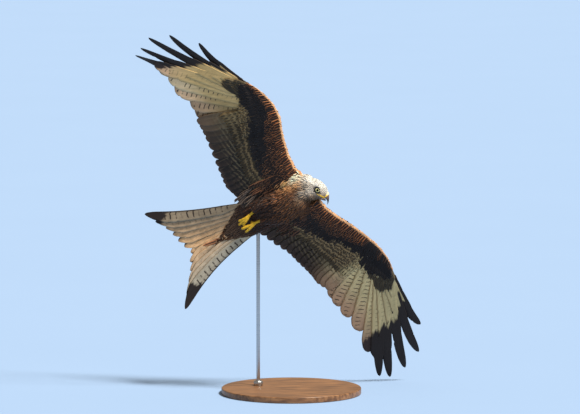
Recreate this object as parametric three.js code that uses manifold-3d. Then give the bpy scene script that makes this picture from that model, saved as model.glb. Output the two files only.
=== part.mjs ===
// A red kite in gliding flight, life size, on a plain museum stand.
// Millimetres, +Z up. The origin is the middle of the underside of the stand's base.
// The bird is built in a frame of its own: +X towards its head, +Y towards its left wing, +Z towards its
// back. One nested group then turns and lifts it into the banking pose.
import * as THREE from 'three';
import { mergeVertices } from 'three/addons/utils/BufferGeometryUtils.js';
import Module from 'manifold-3d';

const wasm = await Module();
wasm.setup();

// Stand
const BASE_RADIUS = 225;
const BASE_HEIGHT = 20;
const BASE_EDGE = 3;
const ROD_RADIUS = 6;
const ROD_AT = [-107, 42];
const ROD_TOP = 566;
const COLLAR_RADIUS = 15;
const COLLAR_HEIGHT = 16;

// How the bird hangs on the stand: climbing, banked over its left wing
const BIRD_AT = [58, -28, 654];
const HEADING = -17.9;
const CLIMB = 29.6;
const BANK = 65.3;

const GAP = 0.3;
const WIDE_GAP = 0.45;

// Trunk: stations along the back, as position, half width and half depth. It rolls towards the tail.
const TRUNK = [
  { at: [-18, 0, 13], wide: 40, deep: 38 },
  { at: [-45, 0, 10], wide: 51, deep: 48 },
  { at: [-80, -2, 7], wide: 57, deep: 54 },
  { at: [-115, -4, 7], wide: 58, deep: 54 },
  { at: [-150, -7, 10], wide: 57, deep: 49 },
  { at: [-185, -11, 14], wide: 57, deep: 42 },
  { at: [-212, -14, 18], wide: 57, deep: 34 },
  { at: [-230, -16, 21], wide: 56, deep: 28 },
];
const ROLL_FRONT = -4;
const ROLL_REAR = -27;

// Neck: it swings to the right before the head turns back to the left
const NECK = [
  { at: [-34, -3, 14], radius: 46 },
  { at: [-18, -15, 19], radius: 44 },
  { at: [-4, -19, 19], radius: 39 },
  { at: [5, -13, 13], radius: 32 },
];

// Head frame: its middle lies between the eyes; the head is cocked with its right side down
const HEAD_AT = [18, 12, 8];
const BILL_DIRECTION = [0.529, 0.835, -0.134];
const CROWN_DIRECTION = [0.702, -0.345, 0.62];
// stations from the nape to the bill: distance forward, top, bottom, half width
const HEAD = [
  [-50, 21, -17, 19],
  [-42, 29, -25, 25],
  [-28, 35, -29, 28],
  [-12, 38, -28.5, 28.5],
  [2, 37, -25.5, 26],
  [14, 34, -21.5, 21.5],
  [24, 29, -16.8, 16.5],
  [30.5, 23, -13, 13],
  [35, 15, -9.5, 9.4],
];
// upper bill: top edge, cutting edge and half width of each section; the first three carry the cere
const BILL_TOP = [[31.5, 16.8], [36.6, 14.2], [40.4, 9.8], [44.4, 2.6], [47.6, -4.6], [50, -13], [50.4, -22]];
const BILL_EDGE = [
  [25, -8.4], [29, -8], [34, -7.7], [39, -8.2], [43.4, -10.8], [47, -15.4], [49.6, -22.3],
];
const BILL_HALF = [9.5, 8.8, 7.4, 5.8, 4.2, 2.6, 0.8];
const CERE_SECTIONS = 3;
const LOWER_TOP = [[15, -9.8], [24, -9.4], [31, -9], [36, -9.3], [40.2, -11.2]];
const LOWER_EDGE = [[15, -17.2], [24, -16.8], [31, -16], [36, -14.9], [39.8, -13.2]];
const LOWER_HALF = [9.5, 8.4, 6.6, 4.2, 1.6];
const EYE_RADIUS = 8;
const EYE_SIDE = 18.6;

// Wings: the bones' lengths and their angles out from straight ahead, then the outline of the covered arm
const HUMERUS = 132;
const ULNA = 156;
const HAND = 100;
const SHOULDER = [-35, 45, 22];
const HUMERUS_RISE = 10;
const ULNA_RISE = 5;
const HAND_RISE = 1.5;
const WING_PITCH = 2;
const ARM_OUT = [42, 85, 130, 175, 215, 250, 285, 318, 345, 372, 398];
const ARM_BACK = [-128, -118, -106, -94, -80, -66, -50, -38, -22, -6, 6];
const ARM_THICK = [42, 36, 31, 27, 24, 21, 18.5, 16, 13, 10, 7];
const ELBOW_STATION = 3;
const WRIST_STATION = 6;
const WINGS = {
  right: {
    side: -1,
    humerusAngle: 96,
    ulnaAngle: 52,
    handAngle: 104,
    armFront: [12, 2, 7, 19, 35, 52, 57, 56, 50, 43, 31],
    fan: [49.4, 43.7, 35.5, 30.2, 26.5, 26.5, 23.2, 17.5, 10.9, 2.7],
    primary: [245, 251, 295, 312, 356, 412, 394, 374, 310, 210],
    fingerTwist: [40, 32, 29, 27, 34],
    fingerWidth: [8, 17],
    tipBow: 0.13,
    trailing: [
      [-222, 62], [-221, 112], [-230, 145], [-224, 182], [-215, 228], [-201, 290], [-190, 340], [-185, 382],
    ],
  },
  left: {
    side: 1,
    humerusAngle: 93,
    ulnaAngle: 50,
    handAngle: 97,
    armFront: [9, 8, 19, 34, 45, 54, 61, 65, 64, 61, 54],
    fan: [62.8, 58.3, 49.7, 40.1, 34.0, 28.3, 24.6, 18.2, 10.2, 2.4],
    primary: [248, 257, 274, 305, 372, 456, 453, 414, 355, 245],
    fingerTwist: [10, 12, 12, 12, 12],
    fingerWidth: [9, 22],
    tipBow: 0.08,
    trailing: [
      [-224, 48], [-210, 106], [-194, 160], [-189, 206], [-183, 250], [-180, 285], [-181, 310], [-168, 346],
    ],
  },
};
// upward bend of a primary, as a share of its length, from the innermost to the outermost
const BEND_INNER = 0.02;
const BEND_OUTER = 0.13;
// length of the outer primaries' free, narrowed ends, from the innermost primary to the outermost
const FINGER = [0, 0, 0, 0, 0, 78, 120, 150, 150, 80];
const FIRST_FINGER = 5;
const SECONDARIES = 13;
const VANE_THICK = 2;
const TIP_CROWDING = 1.7;
const LOUVRE = -2.5;

// Tail: twelve feathers fanned from one root, the outer ones longest, the whole fan twisted against the body
const TAIL_ROOT = [-220, -15.5, 22];
const TAIL_YAW = -1.8;
const TAIL_PITCH = 1.1;
const TAIL_TWIST = -30;
const TAIL_SPREAD = 19.4;
const TAIL_ROOT_HALF = 52;
// lengths of the feathers from the middle out
const TAIL_LENGTHS = { right: [250, 262, 272, 288, 317, 348], left: [238, 254, 268, 292, 322, 355] };
// inward bow of the outermost feathers, as a share of their length
const TAIL_BOW = { right: 0.12, left: 0.26 };
const TAIL_PAIRS = 6;
// coverts over the tail's root: distance back from the root, half width, half depth
const RUMP = [[-12, 56, 31], [6, 57, 27], [35, 51, 18], [70, 37, 11], [105, 22, 6], [138, 5, 2]];
const RUMP_SKEW = 20;

// Legs, folded back under the tail
const FEET = {
  right: {
    side: -1,
    thigh: [[-102, -38, -14], [-140, -44, -19], [-184, -44, -17]],
    shankTop: [-172, -45, -14],
    shankEnd: [-200, -40.5, -21],
    toeTips: [[-241.4, -39.6, -22], [-247.1, -31.2, -26], [-235.3, -25.6, -30]],
  },
  left: {
    side: 1,
    thigh: [[-100, 26, -20], [-140, 9, -27], [-180, -7, -27]],
    shankTop: [-168, -5, -25],
    shankEnd: [-196, -11.5, -31.5],
    toeTips: [[-236.9, -18.4, -32], [-243.4, -17.3, -36], [-237.7, -4.4, -40]],
  },
};
const THIGH_RADIUS = [26, 21, 12];
const SHANK_RADIUS = [5.6, 4];
const TOE_RADIUS = [3.8, 3.1];
const CLAW_LENGTH = 13;
const CLAW_RADIUS = [2.2, 0.5];

const COLOURS = {
  rufous: 0x5a3420,
  pale: 0xcfc8bb,
  armBrown: 0x54382a,
  quill: 0x4a463e,
  tail: 0xa08a6a,
  yellow: 0xd9a21c,
  horn: 0x2a2826,
  iris: 0xb9b079,
  wood: 0x6b4a2f,
  steel: 0x9a9c9e,
};

const rad = THREE.MathUtils.degToRad;
const lerp = THREE.MathUtils.lerp;
const clamp = THREE.MathUtils.clamp;
const smoothstep = THREE.MathUtils.smoothstep;
const vec = (p) => new THREE.Vector3(p[0], p[1], p[2]);

// A direction turned by an angle towards another that stands square on it
function turned(from, towards, angle) {
  return from.clone().multiplyScalar(Math.cos(angle)).addScaledVector(towards, Math.sin(angle));
}

// Straight interpolation in a row of evenly spaced values
function along(values, t) {
  const place = clamp(t, 0, 1) * (values.length - 1);
  const k = Math.min(Math.floor(place), values.length - 2);
  return lerp(values[k], values[k + 1], place - k);
}

// A closed skin through a row of rings: the rings take the place of a sphere's circles of latitude, and the
// poles lie in the middle of the first and the last ring.
function loft(rings) {
  const sides = rings[0].length;
  const geometry = new THREE.SphereGeometry(1, sides, rings.length + 1);
  const middle = (ring) => ring.reduce((sum, p) => sum.add(p), new THREE.Vector3()).divideScalar(sides);
  const rows = [Array(sides).fill(middle(rings[0])), ...rings, Array(sides).fill(middle(rings.at(-1)))];
  const position = geometry.attributes.position;
  for (let k = 0; k < position.count; k++) {
    const row = Math.floor(k / (sides + 1));
    const p = rows[row][(k % (sides + 1)) % sides];
    position.setXYZ(k, p.x, p.y, p.z);
  }
  return solid(geometry);
}

// A closed three.js geometry as a solid whose faces point out
function solid(geometry) {
  geometry.deleteAttribute('normal');
  geometry.deleteAttribute('uv');
  const merged = mergeVertices(geometry, 1e-3);
  const p = merged.attributes.position;
  const index = merged.index.array;
  const triangles = [];
  let volume = 0;
  const [a, b, c] = [new THREE.Vector3(), new THREE.Vector3(), new THREE.Vector3()];
  for (let k = 0; k < index.length; k += 3) {
    const [i, j, l] = [index[k], index[k + 1], index[k + 2]];
    if (i === j || j === l || l === i) continue;
    triangles.push([i, j, l]);
    a.fromBufferAttribute(p, i);
    b.fromBufferAttribute(p, j);
    c.fromBufferAttribute(p, l);
    volume += a.dot(b.cross(c));
  }
  const facing = volume < 0 ? triangles.map(([i, j, l]) => [i, l, j]) : triangles;
  const vertProperties = new Float32Array(p.array);
  const triVerts = new Uint32Array(facing.flat());
  return new wasm.Manifold(new wasm.Mesh({ numProp: 3, vertProperties, triVerts }));
}

// What is left of a body after cuts, without the crumbs that a cut leaves beside it
function cut(body, ...tools) {
  const pieces = tools.reduce((left, tool) => left.subtract(tool), body).decompose();
  return pieces.reduce((largest, piece) => (piece.volume() > largest.volume() ? piece : largest));
}

function join(bodies) {
  return bodies.reduce((sum, body) => sum.add(body));
}

function toMesh(name, body, colour, roughness = 0.8, metalness = 0) {
  const { vertProperties, triVerts } = body.getMesh();
  const geometry = new THREE.BufferGeometry();
  geometry.setAttribute('position', new THREE.BufferAttribute(new Float32Array(vertProperties), 3));
  geometry.setIndex(new THREE.BufferAttribute(new Uint32Array(triVerts), 1));
  geometry.computeVertexNormals();
  const material = new THREE.MeshStandardMaterial({ color: colour, roughness, metalness });
  const mesh = new THREE.Mesh(geometry, material);
  mesh.name = name;
  return mesh;
}

// An ellipse round a middle, between two half axes
function ellipse(middle, halfA, halfB, sides) {
  return Array.from({ length: sides }, (_, k) => {
    const a = (k / sides) * 2 * Math.PI;
    return middle.clone().addScaledVector(halfA, Math.cos(a)).addScaledVector(halfB, Math.sin(a));
  });
}

// Trunk, with its roll growing from the shoulders to the tail
function trunkAxes(x) {
  const roll = rad(THREE.MathUtils.mapLinear(clamp(x, -230, -40), -40, -230, ROLL_FRONT, ROLL_REAR));
  return {
    left: new THREE.Vector3(0, Math.cos(roll), Math.sin(roll)),
    up: new THREE.Vector3(0, -Math.sin(roll), Math.cos(roll)),
  };
}
function trunkSolid(grow) {
  const last = TRUNK.length - 1;
  return loft(TRUNK.map(({ at, wide, deep }, k) => {
    const middle = vec(at);
    middle.x += k === 0 ? grow : k === last ? -grow : 0;
    const { left, up } = trunkAxes(at[0]);
    return ellipse(middle, left.multiplyScalar(wide + grow), up.multiplyScalar(deep + grow), 20);
  }));
}

// Head, built forward along the bill and up along the crown
const headForward = vec(BILL_DIRECTION).normalize();
const headLeft = new THREE.Vector3().crossVectors(vec(CROWN_DIRECTION), headForward).normalize();
const headUp = new THREE.Vector3().crossVectors(headForward, headLeft);
function headPoint(forward, up, left = 0) {
  const p = vec(HEAD_AT).addScaledVector(headForward, forward);
  return p.addScaledVector(headUp, up).addScaledVector(headLeft, left);
}
function headSolid(grow) {
  return loft(HEAD.map(([forward, top, bottom, half], k) => {
    const end = k === 0 ? -grow : k === HEAD.length - 1 ? grow : 0;
    const middle = headPoint(forward + end, (top + bottom) / 2);
    const across = headLeft.clone().multiplyScalar(half + grow);
    return ellipse(middle, across, headUp.clone().multiplyScalar((top - bottom) / 2 + grow), 16);
  }));
}
// Part of the bill between a top edge and a cutting edge
function billSolid(top, edge, half, grow = 0) {
  return loft(top.map((upper, k) => {
    const a = headPoint(...upper);
    const b = headPoint(...edge[k]);
    const upright = a.clone().sub(b).multiplyScalar(0.5);
    upright.setLength(upright.length() + grow);
    const across = headLeft.clone().multiplyScalar(half[k] + grow);
    return ellipse(a.add(b).multiplyScalar(0.5), across, upright, 12);
  }));
}
function eyeSolid(side, radius) {
  const geometry = new THREE.SphereGeometry(radius, 12, 7);
  const middle = headPoint(0, 0, side * EYE_SIDE);
  geometry.translate(middle.x, middle.y, middle.z);
  return solid(geometry);
}

function neckSolid(grow) {
  return loft(NECK.map(({ at, radius }, k) => {
    const before = vec(NECK[Math.max(k - 1, 0)].at);
    const after = vec(NECK[Math.min(k + 1, NECK.length - 1)].at);
    const run = after.sub(before).normalize();
    const left = new THREE.Vector3(0, 0, 1).cross(run).normalize();
    const up = run.clone().cross(left);
    return ellipse(vec(at), left.multiplyScalar(radius + grow), up.multiplyScalar(radius + grow), 16);
  }));
}

// Wing skeleton: a direction given by its angle out from straight ahead and its rise
function heading(angle, rise, side) {
  const level = new THREE.Vector3(Math.cos(rad(angle)), side * Math.sin(rad(angle)), 0);
  return turned(level, new THREE.Vector3(0, 0, 1), rad(rise));
}
function skeleton(wing) {
  const shoulder = new THREE.Vector3(SHOULDER[0], wing.side * SHOULDER[1], SHOULDER[2]);
  const humerus = heading(wing.humerusAngle, HUMERUS_RISE, wing.side);
  const elbow = shoulder.clone().addScaledVector(humerus, HUMERUS);
  const wrist = elbow.clone().addScaledVector(heading(wing.ulnaAngle, ULNA_RISE, wing.side), ULNA);
  const hand = heading(wing.handAngle, HAND_RISE, wing.side);
  const flat = heading(wing.handAngle + 90, 0, wing.side);
  flat.addScaledVector(hand, -flat.dot(hand)).normalize();
  const above = new THREE.Vector3().crossVectors(hand, flat).multiplyScalar(wing.side);
  const rear = turned(flat, above, -rad(WING_PITCH));
  const up = turned(above, flat, rad(WING_PITCH));
  return { shoulder, elbow, wrist, hand, rear, up };
}
// Height of the bones at a distance out from the middle line
function boneHeight(bones, out) {
  const [s, e, w] = [bones.shoulder, bones.elbow, bones.wrist];
  const [so, eo, wo] = [Math.abs(s.y), Math.abs(e.y), Math.abs(w.y)];
  if (out < eo) return THREE.MathUtils.mapLinear(out, so, eo, s.z, e.z);
  if (out < wo) return THREE.MathUtils.mapLinear(out, eo, wo, e.z, w.z);
  return w.z + (out - wo) * Math.tan(rad(HAND_RISE));
}
// Height of the wing's middle surface, which slopes down towards the trailing edge
function wingHeight(bones, x, out) {
  return boneHeight(bones, out) - (55 - x) * Math.tan(rad(WING_PITCH));
}

// The covered arm between two stations: round in front, thin behind
function armSolid(wing, first, last, grow) {
  const bones = skeleton(wing);
  const rings = [];
  for (let k = first; k <= last; k++) {
    const inset = k === first && first > 0 ? GAP : 0;
    const out = ARM_OUT[k] + (k === first ? inset - grow : k === last ? grow : 0);
    const front = wing.armFront[k] + grow;
    const chord = front - ARM_BACK[k] + grow;
    const ring = [];
    for (let j = 0; j < 14; j++) {
      const a = (j / 14) * 2 * Math.PI;
      const back = (1 - Math.cos(a)) / 2;
      const half = (ARM_THICK[k] / 2) * Math.sqrt(back) * (1 - back) / 0.385 + 0.9 + grow;
      const x = front - back * chord;
      const height = wingHeight(bones, x, out) + 5 * Math.sin(Math.PI * back);
      ring.push(new THREE.Vector3(x, wing.side * out, height + Math.sin(a) * half));
    }
    rings.push(ring);
  }
  return loft(rings);
}

// Splits the lower face of a long box along the same diagonals as its upper face, so a twisted blade keeps its
// thickness
function matchDiagonals(geometry, steps) {
  const { index } = geometry;
  for (let k = index.count - 6 * steps; k < index.count; k += 6) {
    const [a, b, d, c] = [0, 1, 2, 4].map((n) => index.getX(k + n));
    [a, b, c, a, c, d].forEach((corner, n) => index.setX(k + n, corner));
  }
}

// A feather's flat blade: a path from root to tip, the direction of its leading edge at each place, and the
// widths of the two vanes on either side of the shaft. Its cross lines stand closer towards the tip.
function blade({ path, leading, above, lead, trail, steps, grow = 0 }) {
  const geometry = new THREE.BoxGeometry(1, 1, 1, 1, steps, 1);
  matchDiagonals(geometry, steps);
  const position = geometry.attributes.position;
  for (let k = 0; k < position.count; k++) {
    const s = 1 - Math.max(0.5 - position.getY(k), 0) ** TIP_CROWDING;
    const toLead = position.getX(k) > 0;
    const p = path(s);
    p.addScaledVector(leading(s), toLead ? lead(s) + grow : -trail(s) - grow);
    p.addScaledVector(above(s), Math.sign(position.getZ(k)) * (VANE_THICK / 2 * (1 - 0.35 * s) + grow));
    position.setXYZ(k, p.x, p.y, p.z);
  }
  return solid(geometry);
}

// Narrow root and rounded tip of a vane; the tip ends in a short cross line
function vaneShape(s, width, tipStart) {
  const root = Math.min(1, 0.35 + s * 3);
  const tip = Math.sqrt(1 - 0.9 * THREE.MathUtils.clamp((s - tipStart) / (1 - tipStart), 0, 1) ** 2);
  return width * root * tip;
}

function primaryBlade(wing, bones, k, grow) {
  const share = k / 9;
  const angle = rad(wing.fan[k]);
  const run = turned(bones.hand, bones.rear, angle);
  const lead0 = turned(bones.rear.clone().negate(), bones.hand, angle);
  const root = bones.wrist.clone().addScaledVector(bones.hand, 5 + 0.95 * HAND * share);
  const length = wing.primary[k];
  const bend = BEND_INNER + (BEND_OUTER - BEND_INNER) * (0.36 * share + 0.64 * share * share);
  const free = FINGER[k];
  const freed = (s) => (free ? smoothstep(s * length, length - free - 22, length - free + 8) : 0);
  const [slimLead, slimTrail] = wing.fingerWidth;
  // the outermost primaries sweep in behind the hand before they reach out to their tips
  const bow = length * wing.tipBow * clamp(k - 7, 0, 2) / 2;
  const turn = free ? wing.fingerTwist[k - FIRST_FINGER] : 0;
  const twist = (s) => rad(LOUVRE + turn * smoothstep(s * length, length - free - 50, length - free * 0.3));
  return blade({
    steps: free ? 6 : 4,
    grow,
    path: (s) => root.clone()
      .addScaledVector(run, length * (s - 0.6 * bend * bend * s ** 3))
      .addScaledVector(bones.up, length * bend * s * s)
      .addScaledVector(lead0, -bow * s * (1 - s)),
    leading: (s) => turned(lead0, bones.up, -twist(s)),
    above: (s) => turned(bones.up, lead0, twist(s)),
    lead: (s) => vaneShape(s, free ? lerp(10, slimLead, freed(s)) : 14, 0.8),
    trail: (s) => vaneShape(s, free ? lerp(32, slimTrail, freed(s)) : 36, 0.8),
  });
}

function secondaryBlade(wing, bones, k) {
  const share = k / (SECONDARIES - 1);
  const edge = wing.trailing.map(([x, out]) => new THREE.Vector3(x, wing.side * out, 0));
  const trail = new THREE.CatmullRomCurve3(edge);
  const tip = trail.getPoint(1 - share);
  const bone = new THREE.CurvePath();
  bone.add(new THREE.LineCurve3(bones.wrist, bones.elbow));
  bone.add(new THREE.LineCurve3(bones.elbow, bones.shoulder));
  const root = bone.getPoint(share * 0.86).setZ(0);
  const run = tip.clone().sub(root);
  const lead0 = new THREE.Vector3(run.y, -run.x, 0).normalize().multiplyScalar(-wing.side);
  const onWing = (p) => p.setZ(wingHeight(bones, p.x, Math.abs(p.y)));
  const path = (s) => onWing(root.clone().addScaledVector(run, s));
  const reach = 10;
  const beside = (s, step) => onWing(path(s).addScaledVector(lead0, step)).z;
  const slope = (s) => beside(s, reach) - beside(s, -reach);
  return blade({
    steps: 4,
    path,
    leading: (s) => lead0.clone().setZ(slope(s) / (2 * reach) - Math.sin(rad(LOUVRE))),
    above: () => new THREE.Vector3(0, 0, 1),
    lead: (s) => vaneShape(s, 15, 0.8),
    trail: (s) => vaneShape(s, 26, 0.8),
  });
}

// Tail frame, and one of its feathers: rank runs from 0.5 beside the middle to 5.5 at the outside
function tailFrame() {
  const back = heading(180 - TAIL_YAW, TAIL_PITCH, 1);
  const level = new THREE.Vector3(0, 1, 0).addScaledVector(back, -back.y).normalize();
  const over = new THREE.Vector3().crossVectors(back, level).multiplyScalar(-1);
  const left = turned(level, over, rad(TAIL_TWIST));
  const up = new THREE.Vector3().crossVectors(left, back);
  return { back, left, up };
}
function tailBlade(frame, side, rank, grow) {
  const share = rank / (TAIL_PAIRS - 0.5);
  const angle = rad(TAIL_SPREAD * share);
  const out = frame.left.clone().multiplyScalar(side);
  const run = turned(frame.back, out, angle);
  const lead0 = turned(out, frame.back, -angle);
  const length = (side < 0 ? TAIL_LENGTHS.right : TAIL_LENGTHS.left)[rank - 0.5];
  const root = vec(TAIL_ROOT).addScaledVector(out, TAIL_ROOT_HALF * share);
  root.addScaledVector(frame.up, -0.5 * rank);
  const bow = length * share * (side < 0 ? TAIL_BOW.right : TAIL_BOW.left);
  const tilt = rad(LOUVRE);
  return blade({
    steps: 5,
    grow,
    path: (s) => root.clone().addScaledVector(run, length * s).addScaledVector(lead0, -bow * s * (1 - s)),
    leading: () => turned(lead0, frame.up, -tilt),
    above: () => turned(frame.up, lead0, tilt),
    lead: (s) => vaneShape(s, lerp(17, 9, share), 0.8) * lerp(0.6, 1, s),
    trail: (s) => vaneShape(s, lerp(18, 33, share), 0.8) * lerp(0.6, 1, s),
  });
}
function halfTail(side, grow) {
  const frame = tailFrame();
  return join([...Array(TAIL_PAIRS).keys()].map((k) => tailBlade(frame, side, k + 0.5, grow)));
}
function rumpSolid(grow) {
  const frame = tailFrame();
  return loft(RUMP.map(([back, wide, deep], k) => {
    const end = k === 0 ? -grow : k === RUMP.length - 1 ? grow : 0;
    const middle = vec(TAIL_ROOT).addScaledVector(frame.back, back + end);
    middle.addScaledVector(frame.left, RUMP_SKEW * Math.max(back, 0) / RUMP.at(-1)[0]);
    const across = frame.left.clone().multiplyScalar(wide + grow);
    return ellipse(middle, across, frame.up.clone().multiplyScalar(deep + grow), 16);
  }));
}

// A round limb through given points, its radius running from the first to the last value
function limb(points, radii, sides, grow = 0) {
  const curve = new THREE.CatmullRomCurve3(points);
  const steps = points.length;
  const rings = [];
  for (let k = 0; k <= steps; k++) {
    const t = k / steps;
    const run = curve.getTangent(t);
    const across = new THREE.Vector3(0, 0, 1).cross(run);
    if (across.length() < 0.2) across.set(0, 1, 0);
    across.normalize();
    const up = run.clone().cross(across).normalize();
    const radius = along(radii, t) + grow;
    rings.push(ellipse(curve.getPoint(t), across.multiplyScalar(radius), up.multiplyScalar(radius), sides));
  }
  return loft(rings);
}
// A toe runs back from the end of the shank, then curls up and forward
function toePath(end, tip) {
  const run = tip.clone().sub(end);
  const knuckle = end.clone().addScaledVector(run, 0.5).add(new THREE.Vector3(0, 0, -4));
  const curl = tip.clone().add(new THREE.Vector3(1, 0, 5));
  return [end.clone(), knuckle, tip.clone(), curl];
}
function clawPath(tip, side) {
  const start = tip.clone().add(new THREE.Vector3(1.6, 0, 5.6));
  const bend = start.clone().add(new THREE.Vector3(CLAW_LENGTH * 0.4, side, 2));
  const point = start.clone().add(new THREE.Vector3(CLAW_LENGTH * 0.8, side * 2, 0));
  return [start, bend, point];
}

// Bird
const bird = new THREE.Group();
bird.rotation.set(rad(-BANK), rad(-CLIMB), rad(HEADING), 'ZYX');
bird.position.set(...BIRD_AT);

const trunkGrown = trunkSolid(GAP);
const headGrown = headSolid(GAP);
const rumpGrown = rumpSolid(GAP);

// Rod in the bird's own frame, to cut its socket
bird.updateMatrixWorld(true);
const toBird = bird.matrixWorld.clone().invert();
function rodSolid(radius, top) {
  const height = top - BASE_HEIGHT - GAP;
  const geometry = new THREE.CylinderGeometry(radius, radius, height, 20);
  geometry.rotateX(Math.PI / 2);
  geometry.translate(ROD_AT[0], ROD_AT[1], BASE_HEIGHT + GAP + height / 2);
  return geometry;
}
const socket = solid(rodSolid(ROD_RADIUS + GAP, ROD_TOP + GAP).applyMatrix4(toBird));

bird.add(toMesh('trunk', cut(trunkSolid(0), socket, headGrown), COLOURS.rufous));
bird.add(toMesh('neck', cut(neckSolid(0), trunkGrown, headGrown), COLOURS.rufous));
bird.add(toMesh('rump', cut(rumpSolid(0), trunkGrown, socket), COLOURS.rufous));
bird.add(toMesh('tail_left', cut(halfTail(1, 0), trunkGrown, rumpGrown), COLOURS.tail));
bird.add(toMesh('tail_right', cut(halfTail(-1, 0), trunkGrown, rumpGrown, halfTail(1, GAP)), COLOURS.tail));

const cereTop = BILL_TOP.slice(0, CERE_SECTIONS);
const cereEdge = BILL_EDGE.slice(0, CERE_SECTIONS);
const tipTop = BILL_TOP.slice(CERE_SECTIONS - 1).map(([f, u], k) => [f + (k === 0 ? GAP : 0), u]);
const tipEdge = BILL_EDGE.slice(CERE_SECTIONS - 1).map(([f, u], k) => [f + (k === 0 ? GAP : 0), u]);
const eyes = { right: -1, left: 1 };
const sockets = Object.values(eyes).map((side) => eyeSolid(side, EYE_RADIUS + GAP));
bird.add(toMesh('head', cut(headSolid(0), ...sockets), COLOURS.pale));
bird.add(toMesh('cere', cut(billSolid(cereTop, cereEdge, BILL_HALF), headGrown), COLOURS.yellow, 0.45));
const upperBill = billSolid(tipTop, tipEdge, BILL_HALF.slice(CERE_SECTIONS - 1));
bird.add(toMesh('bill_upper', cut(upperBill, headGrown), COLOURS.horn, 0.35));
const lowerBill = billSolid(LOWER_TOP, LOWER_EDGE, LOWER_HALF);
const upperGrown = billSolid(BILL_TOP, BILL_EDGE, BILL_HALF, GAP);
bird.add(toMesh('bill_lower', cut(lowerBill, headGrown, upperGrown), COLOURS.horn, 0.4));
for (const [name, side] of Object.entries(eyes)) {
  bird.add(toMesh(`eye_${name}`, eyeSolid(side, EYE_RADIUS), COLOURS.iris, 0.15));
}

for (const [name, wing] of Object.entries(WINGS)) {
  const bones = skeleton(wing);
  const lastStation = ARM_OUT.length - 1;
  const armGrown = armSolid(wing, 0, lastStation, WIDE_GAP);
  const primaries = (grow) => join(wing.primary.map((_, k) => primaryBlade(wing, bones, k, grow)));
  const secondaries = join([...Array(SECONDARIES).keys()].map((k) => secondaryBlade(wing, bones, k)));
  const upperArm = cut(armSolid(wing, 0, ELBOW_STATION, 0), trunkGrown, neckSolid(GAP), headGrown);
  bird.add(toMesh(`upper_arm_${name}`, upperArm, COLOURS.armBrown));
  bird.add(toMesh(`forearm_${name}`, armSolid(wing, ELBOW_STATION, WRIST_STATION, 0), COLOURS.armBrown));
  bird.add(toMesh(`hand_${name}`, armSolid(wing, WRIST_STATION, lastStation, 0), COLOURS.armBrown));
  bird.add(toMesh(`primaries_${name}`, cut(primaries(0), armGrown), COLOURS.quill, 0.6));
  const armQuills = cut(secondaries, armGrown, primaries(GAP), trunkGrown, rumpGrown);
  bird.add(toMesh(`secondaries_${name}`, armQuills, COLOURS.quill, 0.6));
}

for (const [name, foot] of Object.entries(FEET)) {
  const top = vec(foot.shankTop);
  const end = vec(foot.shankEnd);
  const tips = foot.toeTips.map(vec);
  const inner = end.clone().add(new THREE.Vector3(-14, foot.side * -5, 7));
  tips.push(inner);
  const toes = join(tips.map((tip) => limb(toePath(end, tip), TOE_RADIUS, 6)));
  const thigh = (grow) => limb(foot.thigh.map(vec), THIGH_RADIUS, 12, grow);
  const shankEnd = end.clone().add(top.clone().sub(end).setLength(3.5));
  const shank = limb([top, top.clone().lerp(shankEnd, 0.5), shankEnd], SHANK_RADIUS, 10);
  const footGrown = join(tips.map((tip) => limb(toePath(end, tip), TOE_RADIUS, 6, GAP)));
  bird.add(toMesh(`thigh_${name}`, cut(thigh(0), trunkGrown), COLOURS.rufous));
  bird.add(toMesh(`shank_${name}`, cut(shank, trunkGrown, thigh(GAP), footGrown), COLOURS.yellow, 0.5));
  bird.add(toMesh(`foot_${name}`, cut(toes, trunkGrown, rumpGrown), COLOURS.yellow, 0.5));
  tips.forEach((tip, k) => {
    const claw = cut(limb(clawPath(tip, foot.side), CLAW_RADIUS, 6), footGrown, toes, trunkGrown, rumpGrown);
    bird.add(toMesh(`claw_${name}_${k + 1}`, claw, COLOURS.horn, 0.35));
  });
}

// Stand
const stand = new THREE.Group();
const baseProfile = [
  [0, 0],
  [BASE_RADIUS - BASE_EDGE, 0],
  [BASE_RADIUS, BASE_EDGE],
  [BASE_RADIUS, BASE_HEIGHT - BASE_EDGE],
  [BASE_RADIUS - BASE_EDGE, BASE_HEIGHT],
  [0, BASE_HEIGHT],
].map(([r, z]) => new THREE.Vector2(r, z));
const base = solid(new THREE.LatheGeometry(baseProfile, 40).rotateX(Math.PI / 2));
const rod = solid(rodSolid(ROD_RADIUS, ROD_TOP));
const collarProfile = [
  [ROD_RADIUS + GAP, 0],
  [COLLAR_RADIUS, 0],
  [COLLAR_RADIUS, COLLAR_HEIGHT - 4],
  [COLLAR_RADIUS - 4, COLLAR_HEIGHT],
  [ROD_RADIUS + GAP, COLLAR_HEIGHT],
  [ROD_RADIUS + GAP, 0],
].map(([r, z]) => new THREE.Vector2(r, z));
const collarShape = new THREE.LatheGeometry(collarProfile, 20).rotateX(Math.PI / 2);
const collar = solid(collarShape.translate(ROD_AT[0], ROD_AT[1], BASE_HEIGHT + GAP));
stand.add(toMesh('stand_base', base, COLOURS.wood, 0.5));
stand.add(toMesh('stand_rod', rod, COLOURS.steel, 0.3, 1));
stand.add(toMesh('stand_collar', collar, COLOURS.steel, 0.3, 1));

const model = new THREE.Group();
model.add(stand, bird);
export default model;
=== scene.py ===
"""A red kite banking in flight, life size, on a plain display stand.

Shapes are worked out in millimetres in the bird's own frame (X towards the head, Y towards the left wing,
Z towards the back) and turned into the row's frame, in metres, when a mesh is made.
"""

import math

import bpy
import numpy as np
from mathutils import Euler, Matrix, Vector
from mathutils.bvhtree import BVHTree
from mathutils.kdtree import KDTree


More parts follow.
